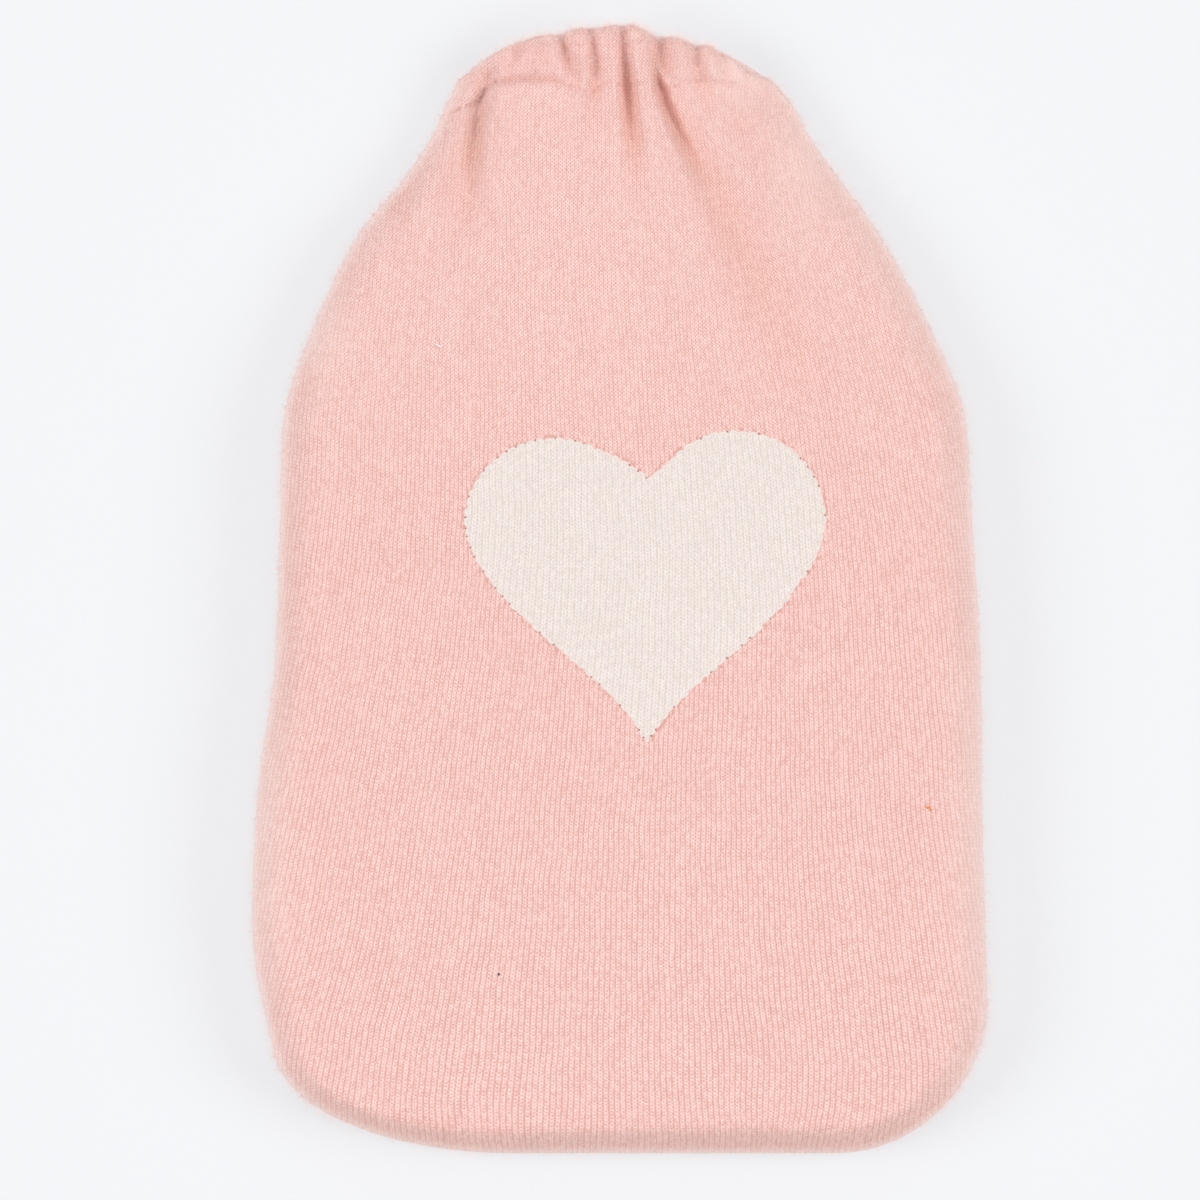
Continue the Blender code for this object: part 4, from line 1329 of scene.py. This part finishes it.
class StageSettings(bpy.types.PropertyGroup):
    """Camera, light and floor."""

    frame_width: bpy.props.FloatProperty(
        name="Frame width", description="Width of the picture at the seam's height",
        default=0.3617, unit="LENGTH", precision=4)
    distance: bpy.props.FloatProperty(
        name="Distance", description="Height of the camera above the seam", default=5.0,
        unit="LENGTH")
    side_light: bpy.props.FloatProperty(
        name="Side light", description="Strength of the soft lights at both sides",
        default=1.40)
    front_light: bpy.props.FloatProperty(
        name="Front light", description="Strength of the soft light from the bottom edge's side",
        default=0.46)
    top_light: bpy.props.FloatProperty(
        name="Top light", description="Strength of the broad light overhead", default=0.8)
    fill: bpy.props.FloatProperty(
        name="Fill", description="Strength of the light from all round", default=0.30)
    floor: bpy.props.FloatVectorProperty(
        name="Floor", description="Colour of the floor", size=3, subtype="COLOR",
        default=(0.315, 0.319, 0.3265))
    floor_glow: bpy.props.FloatProperty(
        name="Floor glow", description="How much light the floor gives itself", default=1.7)


# ---------------------------------------------------------------- pieces


def shell_sizes(context):
    """Thickness of the cloth and of the hem, in millimetres."""
    cloth = context.scene.cover_cloth
    return round(cloth.thickness / MM, 4), round(cloth.hem_thickness / MM, 4)


def front_face(context):
    """The front panel's outer grid and its normals."""
    outer = front_panel_shape(*shell_sizes(context))[0]
    return outer, surface_normals(outer)


def flat_area(outer):
    """Area of a panel's outer surface in square metres: half the cross product of each
    face's diagonals."""
    first = outer[1:, 1:] - outer[:-1, :-1]
    second = outer[1:, :-1] - outer[:-1, 1:]
    return float(np.linalg.norm(np.cross(first, second), axis=-1).sum() / 2) * MM * MM


class COVER_OT_front_panel(bpy.types.Operator):
    """Knitted front panel with its gathers, hem and inlaid heart"""

    bl_idname = "cover.front_panel"
    bl_label = "Front Panel"

    def execute(self, context):
        cloth = context.scene.cover_cloth
        shape = front_panel_shape(*shell_sizes(context))
        material = knit_material("pink_knit_with_heart", *map(opaque, (
            cloth.yarn, cloth.shadow, cloth.fold, cloth.fluff_and_highlight, cloth.heart,
            cloth.heart_shadow)))
        piece = add_shell("knitted_front", shape, False, material)
        outer = shape[0]
        heart = heart_distance(outer[..., 0], outer[..., 1]).ravel()
        put_value(piece.data, "heart", np.concatenate([heart, np.full_like(heart, FAR_OUT)]))
        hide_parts("front_panel")
        flat_area(outer)
        return {"FINISHED"}


class COVER_OT_back_panel(bpy.types.Operator):
    """Plain knitted back panel, flat with turned up edges"""

    bl_idname = "cover.back_panel"
    bl_label = "Back Panel"

    def execute(self, context):
        cloth = context.scene.cover_cloth
        shape = back_panel_shape(*shell_sizes(context))
        material = knit_material("pink_knit_plain", *map(opaque, (
            cloth.yarn, cloth.shadow, cloth.fold, cloth.fluff_and_highlight)))
        piece = add_shell("knitted_back", shape, True, material)
        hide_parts("back_panel")
        flat_area(shape[0])
        return {"FINISHED"}


class COVER_OT_seam_stitches(bpy.types.Operator):
    """Linking loops that join the two panels along the sides and the bottom"""

    bl_idname = "cover.seam_stitches"
    bl_label = "Seam Stitches"

    def execute(self, context):
        """Each loop is part of a ring round the seam, drawn out along it as a short screw."""
        cloth, stitch = context.scene.cover_cloth, context.scene.cover_stitches
        outer = front_face(context)[0]
        line = seam_line(outer[..., 0], outer[..., 1])
        run = line_run(line)
        count = int(run[-1] / (stitch.seam_step / MM))
        rng = np.random.default_rng(SEED)
        at = (np.arange(count) + 0.5 + rng.uniform(-STRAY, STRAY, count)) * run[-1] / count
        centre = line_read(line, run, at)[:, None]
        ahead = line_ahead(line, run, at - 1.0, at + 1.0)[:, None]
        outward = np.stack([ahead[..., 1], -ahead[..., 0]], axis=-1)
        angle = np.linspace(-LOOP_TURN, LOOP_TURN, STITCH_POINTS)
        radius = rng.uniform(*LOOP_RADII, (count, 1))
        out = (radius * np.cos(angle) - LOOP_INSET)[..., None]
        slant = (LOOP_SLANT * angle / LOOP_TURN)[:, None]
        height = SEAM_HEIGHT + LOOP_TALL * radius * np.sin(angle)
        paths = np.concatenate([
            centre + out * outward + slant * ahead, height[..., None]], axis=-1)
        radii = np.full(paths.shape[:2], stitch.yarn_radius / MM)
        # The linking loops take the pale fluff colour, in part a painted highlight that lightens the
        # outline
        material = yarn_material("pink_linking_yarn", opaque(cloth.fluff_and_highlight), opaque(cloth.yarn))
        flat = np.pad(ahead[:, 0], ((0, 0), (0, 1)))
        add_tubes("seam_stitches", paths, radii, ROUND_SIDES, flat, material)
        return {"FINISHED"}


class COVER_OT_hem_stitches(bpy.types.Operator):
    """Short stitches that hold the turned hem down, on the front and the back"""

    bl_idname = "cover.hem_stitches"
    bl_label = "Hem Stitches"

    def execute(self, context):
        """Each stitch is a short low arc of a sine over the groove of the stitch line."""
        rng = np.random.default_rng(SEED + 1)
        sizes = shell_sizes(context)
        cloth = context.scene.cover_cloth
        material = yarn_material("pink_hem_yarn", opaque(cloth.yarn), opaque(cloth.shadow))
        sides = (
            ("front_hem_stitches", front_panel_shape(*sizes), FRONT_HEM, LINE_END, False),
            ("back_hem_stitches", back_panel_shape(*sizes), BACK_HEM, BACK_LINE_END, True),
        )
        for name, (outer, _, _), hem, end, flip in sides:
            x = np.arange(LINE_START, end, HEM_STEP)
            x = x + rng.uniform(-HEM_STRAY, HEM_STRAY, len(x))
            along = np.linspace(-HEM_HALF, HEM_HALF, HEM_POINTS)
            spots_x = x[:, None] + along
            tilt = rng.uniform(-HEM_TILT, HEM_TILT, (len(x), 1))
            spots_up = hem_values(spots_x, hem)[0] + tilt * along
            base, out = on_face((outer, surface_normals(outer, flip)), spots_x, spots_up)
            lift = HEM_LIFT * np.sin(np.linspace(0.0, math.pi, len(along))) - HEM_SUNK
            paths = base + out * lift[:, None]
            radii = np.full(paths.shape[:2], HEM_YARN) * taper(along / HEM_HALF, HEM_TAPER)
            add_tubes(
                name, paths, radii, THIN_SIDES, out[:, 2], material)
        return {"FINISHED"}


class COVER_OT_heart_stitches(bpy.types.Operator):
    """Cream stitches over the heart's edge, where it is linked into the pink cloth"""

    bl_idname = "cover.heart_stitches"
    bl_label = "Heart Stitches"

    def execute(self, context):
        """Each stitch lies along the outline and bows out over it by a cosine, low in the
        cloth, with its ends a little inside."""
        cloth, stitch = context.scene.cover_cloth, context.scene.cover_stitches
        rng = np.random.default_rng(SEED + 2)
        face = front_face(context)
        ring = heart_outline()
        run = line_run(ring)
        count = int(run[-1] / (stitch.heart_step / MM))
        step = run[-1] / count
        share = np.linspace(-0.5, 0.5, STITCH_POINTS)
        at = (np.arange(count) + rng.uniform(-STRAY, STRAY, count)) * step
        length = step * rng.uniform(*HEART_LENGTHS, count)
        along = (at[:, None] + length[:, None] * share) % run[-1]
        ahead = line_ahead(ring, run, (along - 0.5) % run[-1], (along + 0.5) % run[-1])
        outward = np.stack([-ahead[..., 1], ahead[..., 0]], axis=-1)
        bow = rng.uniform(*HEART_BOWS, (count, 1)) * np.cos(share * math.pi) - HEART_INSET
        spots = line_read(ring, run, along) + bow[..., None] * outward
        base, out = on_face(face, spots[..., 0], spots[..., 1])
        lift = HEART_LIFT * np.cos(share * math.pi) - HEART_SUNK
        paths = base + out * lift[:, None]
        radii = rng.uniform(*HEART_YARN, (count, 1)) * taper(2 * share, HEART_TAPER)
        material = yarn_material(
            "cream_heart_yarn", opaque(cloth.heart_edge), opaque(cloth.heart_shadow))
        add_tubes("heart_edge_stitches", paths, radii, ROUND_SIDES, out[:, 2], material)
        self.add_painted_shade_links(face, spots[:, -1], outward[:, -1], cloth)
        return {"FINISHED"}

    def add_painted_shade_links(self, face, ends, outward, cloth):
        """Loops of pink yarn that come up in the shade between two stitches, each a short line out
        from the end of one, their yarn painted as darkened copies of the gap colour: painted shade.
        Some are pulled tight and can't be seen."""
        rng = np.random.default_rng(SEED + 4)
        links = np.where(ends[:, 0] < CLEFT[0], LEFT_LINKS, RIGHT_LINKS)
        chosen = rng.uniform(0.0, 1.0, len(ends)) < links
        ends, outward = ends[chosen], outward[chosen]
        share = np.linspace(0.0, 1.0, LINK_POINTS)
        spots = ends[:, None] + outward[:, None] * (LINK_START + LINK_LENGTH * share)[:, None]
        base, out = on_face(face, spots[..., 0], spots[..., 1])
        paths = base + out * (LINK_LIFT * np.sin(math.pi * share) - LINK_SUNK)[:, None]
        radii = rng.uniform(*LINK_YARN, (len(ends), 1)) * taper(2 * share - 1, LINK_TAPER)
        # Painted shade: the links' yarn is the gap colour darkened
        material = yarn_material(
            "pink_heart_link_painted_shade", opaque(cloth.shadow, 0.72), opaque(cloth.shadow, 0.48))
        add_tubes("heart_edge_links_painted_shade", paths, radii, THIN_SIDES, out[:, 1], material)


def fibre_paths(roots, normals, rng, length, spread):
    """Paths of bent fibres: from each root out along a leaning direction, then bowed to one
    side by the square of the distance along. Lengths are chance numbers of the gamma kind."""
    count = len(roots)
    lean = rng.normal(0.0, 1.0, (count, 3))
    direction = normals + spread * lean
    direction /= np.linalg.norm(direction, axis=1)[:, None]
    bow = rng.normal(0.0, 1.0, (count, 3))
    bow -= (bow * direction).sum(1)[:, None] * direction
    reach = length * rng.gamma(3.0, 1.0 / 3.0, (count, 1)).clip(*FIBRE_SPAN)
    t = np.linspace(0.0, 1.0, 3)[None, :, None]
    path = roots[:, None] - normals[:, None] * FIBRE_ROOT
    path = path + direction[:, None] * reach[:, None] * t
    path = path + FIBRE_BOW * bow[:, None] * reach[:, None] * t ** 2
    path[..., 2] = np.maximum(path[..., 2], FIBRE_FLOOR)
    return path


class COVER_OT_fuzz(bpy.types.Operator):
    """Loose wool fibres on the face, along the outline and on the hem"""

    bl_idname = "cover.fuzz"
    bl_label = "Wool Fuzz"

    def execute(self, context):
        """Fibres stand at chance places between two rows and two columns of the front, and
        crowd towards the first by a power. Places in small cells are kept less often."""
        fuzz, cloth = context.scene.cover_fuzz, context.scene.cover_cloth
        rng = np.random.default_rng(SEED + 3)
        outer, normals = front_face(context)
        cell = np.cross(np.gradient(outer, axis=0), np.gradient(outer, axis=1))
        cell = np.linalg.norm(cell, axis=-1, keepdims=True)
        top, right = outer.shape[0] - 1, outer.shape[1] - 1
        wall = STEPS.wall
        material = fibre_material(
            "loose_wool", opaque(cloth.fluff_and_highlight), opaque(cloth.yarn), fuzz.glow)
        areas = (
            Area("face_fuzz", fuzz.face_count, (0, top, 1.0), (wall, right - wall, 1.0), 1.1),
            Area("left_fuzz", fuzz.side_count, (0, top, 1.0), (0, wall, 2.0), 0.7),
            Area("right_fuzz", fuzz.side_count, (0, top, 1.0), (right, right - wall, 2.0), 0.7),
            Area("bottom_fuzz", fuzz.bottom_count, (0, STEPS.bottom, 1.0), (0, right, 1.0), 0.7),
            Area("hem_fuzz", fuzz.hem_count, (top, top - STEPS.hem, 2.2), (0, right, 1.0), 0.9),
        )
        for area in areas:
            i, j = (
                between(rng.uniform(0.0, 1.0, area.count) ** crowding, first, last)
                for first, last, crowding in (area.rows, area.columns))
            size = grid_read(cell, i, j)[:, 0]
            kept = rng.uniform(0.0, 1.0, area.count) < size / np.median(size)
            roots, out = (grid_read(values, i[kept], j[kept]) for values in (outer, normals))
            paths = fibre_paths(roots, out, rng, fuzz.length / MM, area.spread)
            radii = fuzz.radius / MM * rng.uniform(*FIBRE_RADII, (len(roots), 1)) * FIBRE_TAPER
            side = np.cross(out, rng.normal(0.0, 1.0, out.shape))
            add_tubes(area.name, paths, radii, 3, side, material)
        return {"FINISHED"}


class COVER_OT_lint(bpy.types.Operator):
    """A white bit of lint, a dark speck and an orange one on the face"""

    bl_idname = "cover.lint"
    bl_label = "Lint"

    def execute(self, context):
        """Each bit is a short fibre on the cloth, bowed by a parabola."""
        face = front_face(context)
        share = np.linspace(-0.5, 0.5, BIT_POINTS)
        for bit in BITS:
            turn = math.radians(bit.turn)
            along = bit.length * share
            bow = BIT_BOW * bit.length * (1.0 - 4.0 * share ** 2)
            base, out = on_face(
                face, bit.x + along * math.cos(turn) - bow * math.sin(turn),
                bit.up + along * math.sin(turn) + bow * math.cos(turn))
            paths = (base + out * (bit.radius * 0.8 + 0.05))[None]
            radii = (bit.radius * (1.0 - 0.7 * np.abs(2 * share) ** 2))[None]
            colour = linear(*bit.colour)
            material = fibre_material(bit.name, opaque(colour), opaque(colour, 0.9), BIT_PAINTED_GLOW)
            add_tubes(
                bit.name, paths, radii, ROUND_SIDES, out[:1], material)
        return {"FINISHED"}


class COVER_OT_stage(bpy.types.Operator):
    """Pale floor, soft studio light and the camera straight above"""

    bl_idname = "cover.stage"
    bl_label = "Stage"

    def execute(self, context):
        scene = context.scene
        stage = scene.cover_stage
        floor = bpy.data.meshes.new("studio_floor")
        ends = (-FLOOR_HALF, FLOOR_HALF)
        corners = [(x, y, FLOOR_HEIGHT) for y in ends for x in ends]
        floor.from_pydata(corners, [], [(0, 1, 3, 2)])
        floor.materials.append(floor_material(stage.floor, stage.floor_glow))
        floor_object = bpy.data.objects.new("studio_floor", floor)
        scene.collection.objects.link(floor_object)
        floor_object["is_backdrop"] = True

        # Each sun: its strength, its turn back and aside, and its spread, in degrees
        suns = (
            ("left_light", stage.side_light, 0.0, -50.0, 34.0),
            ("right_light", stage.side_light, 0.0, 50.0, 34.0),
            ("front_light", stage.front_light, 50.0, 0.0, 50.0),
            ("overhead_light", stage.top_light, -35.0, 0.0, 80.0),
        )
        for name, strength, back, aside, spread in suns:
            lamp = bpy.data.lights.new(name, "SUN")
            lamp.energy = strength
            lamp.angle = math.radians(spread)
            holder = bpy.data.objects.new(name, lamp)
            holder.rotation_euler = (math.radians(back), math.radians(aside), 0.0)
            scene.collection.objects.link(holder)

        world = bpy.data.worlds.new("studio_surround")
        world.use_nodes = True
        background = world.node_tree.nodes["Background"]
        background.inputs[0].default_value = (0.98, 0.99, 1.0, 1.0)
        background.inputs[1].default_value = stage.fill
        scene.world = world
        scene.view_settings.view_transform = "Standard"

        camera = bpy.data.cameras.new("camera")
        camera.lens = camera.sensor_width * stage.distance / stage.frame_width
        camera.clip_start, camera.clip_end = 0.1, 20.0
        holder = bpy.data.objects.new("camera", camera)
        holder.location = CAMERA_PLACE + (stage.distance + SEAM_HEIGHT * MM,)
        scene.collection.objects.link(holder)
        scene.camera = holder
        return {"FINISHED"}


class COVER_PT_panel(bpy.types.Panel):
    """The cover's settings and its pieces"""

    bl_idname = "COVER_PT_panel"
    bl_label = "Bottle Cover"
    bl_space_type = "VIEW_3D"
    bl_region_type = "UI"
    bl_category = "Bottle Cover"

    def draw(self, context):
        layout = self.layout
        groups = (
            (context.scene.cover_cloth, (COVER_OT_front_panel, COVER_OT_back_panel)),
            (context.scene.cover_stitches, (
                COVER_OT_seam_stitches, COVER_OT_hem_stitches, COVER_OT_heart_stitches)),
            (context.scene.cover_fuzz, (COVER_OT_fuzz, COVER_OT_lint)),
            (context.scene.cover_stage, (COVER_OT_stage,)),
        )
        for settings, operators in groups:
            box = layout.box()
            for name in settings.__annotations__:
                box.prop(settings, name)
            for operator in operators:
                box.operator(operator.bl_idname)


CLASSES = (
    ClothSettings,
    StitchSettings,
    FuzzSettings,
    StageSettings,
    COVER_OT_front_panel,
    COVER_OT_back_panel,
    COVER_OT_seam_stitches,
    COVER_OT_hem_stitches,
    COVER_OT_heart_stitches,
    COVER_OT_fuzz,
    COVER_OT_lint,
    COVER_OT_stage,
    COVER_PT_panel,
)


def register():
    for cls in CLASSES:
        bpy.utils.register_class(cls)
    scene_type = bpy.types.Scene
    scene_type.cover_cloth = bpy.props.PointerProperty(type=ClothSettings)
    scene_type.cover_stitches = bpy.props.PointerProperty(type=StitchSettings)
    scene_type.cover_fuzz = bpy.props.PointerProperty(type=FuzzSettings)
    scene_type.cover_stage = bpy.props.PointerProperty(type=StageSettings)


def unregister():
    for name in ("cover_cloth", "cover_stitches", "cover_fuzz", "cover_stage"):
        delattr(bpy.types.Scene, name)
    for cls in reversed(CLASSES):
        bpy.utils.unregister_class(cls)


def main():
    register()
    bpy.ops.cover.front_panel()
    bpy.ops.cover.back_panel()
    bpy.ops.cover.seam_stitches()
    bpy.ops.cover.hem_stitches()
    bpy.ops.cover.heart_stitches()
    bpy.ops.cover.fuzz()
    bpy.ops.cover.lint()
    bpy.ops.cover.stage()


if __name__ == "__main__":
    main()
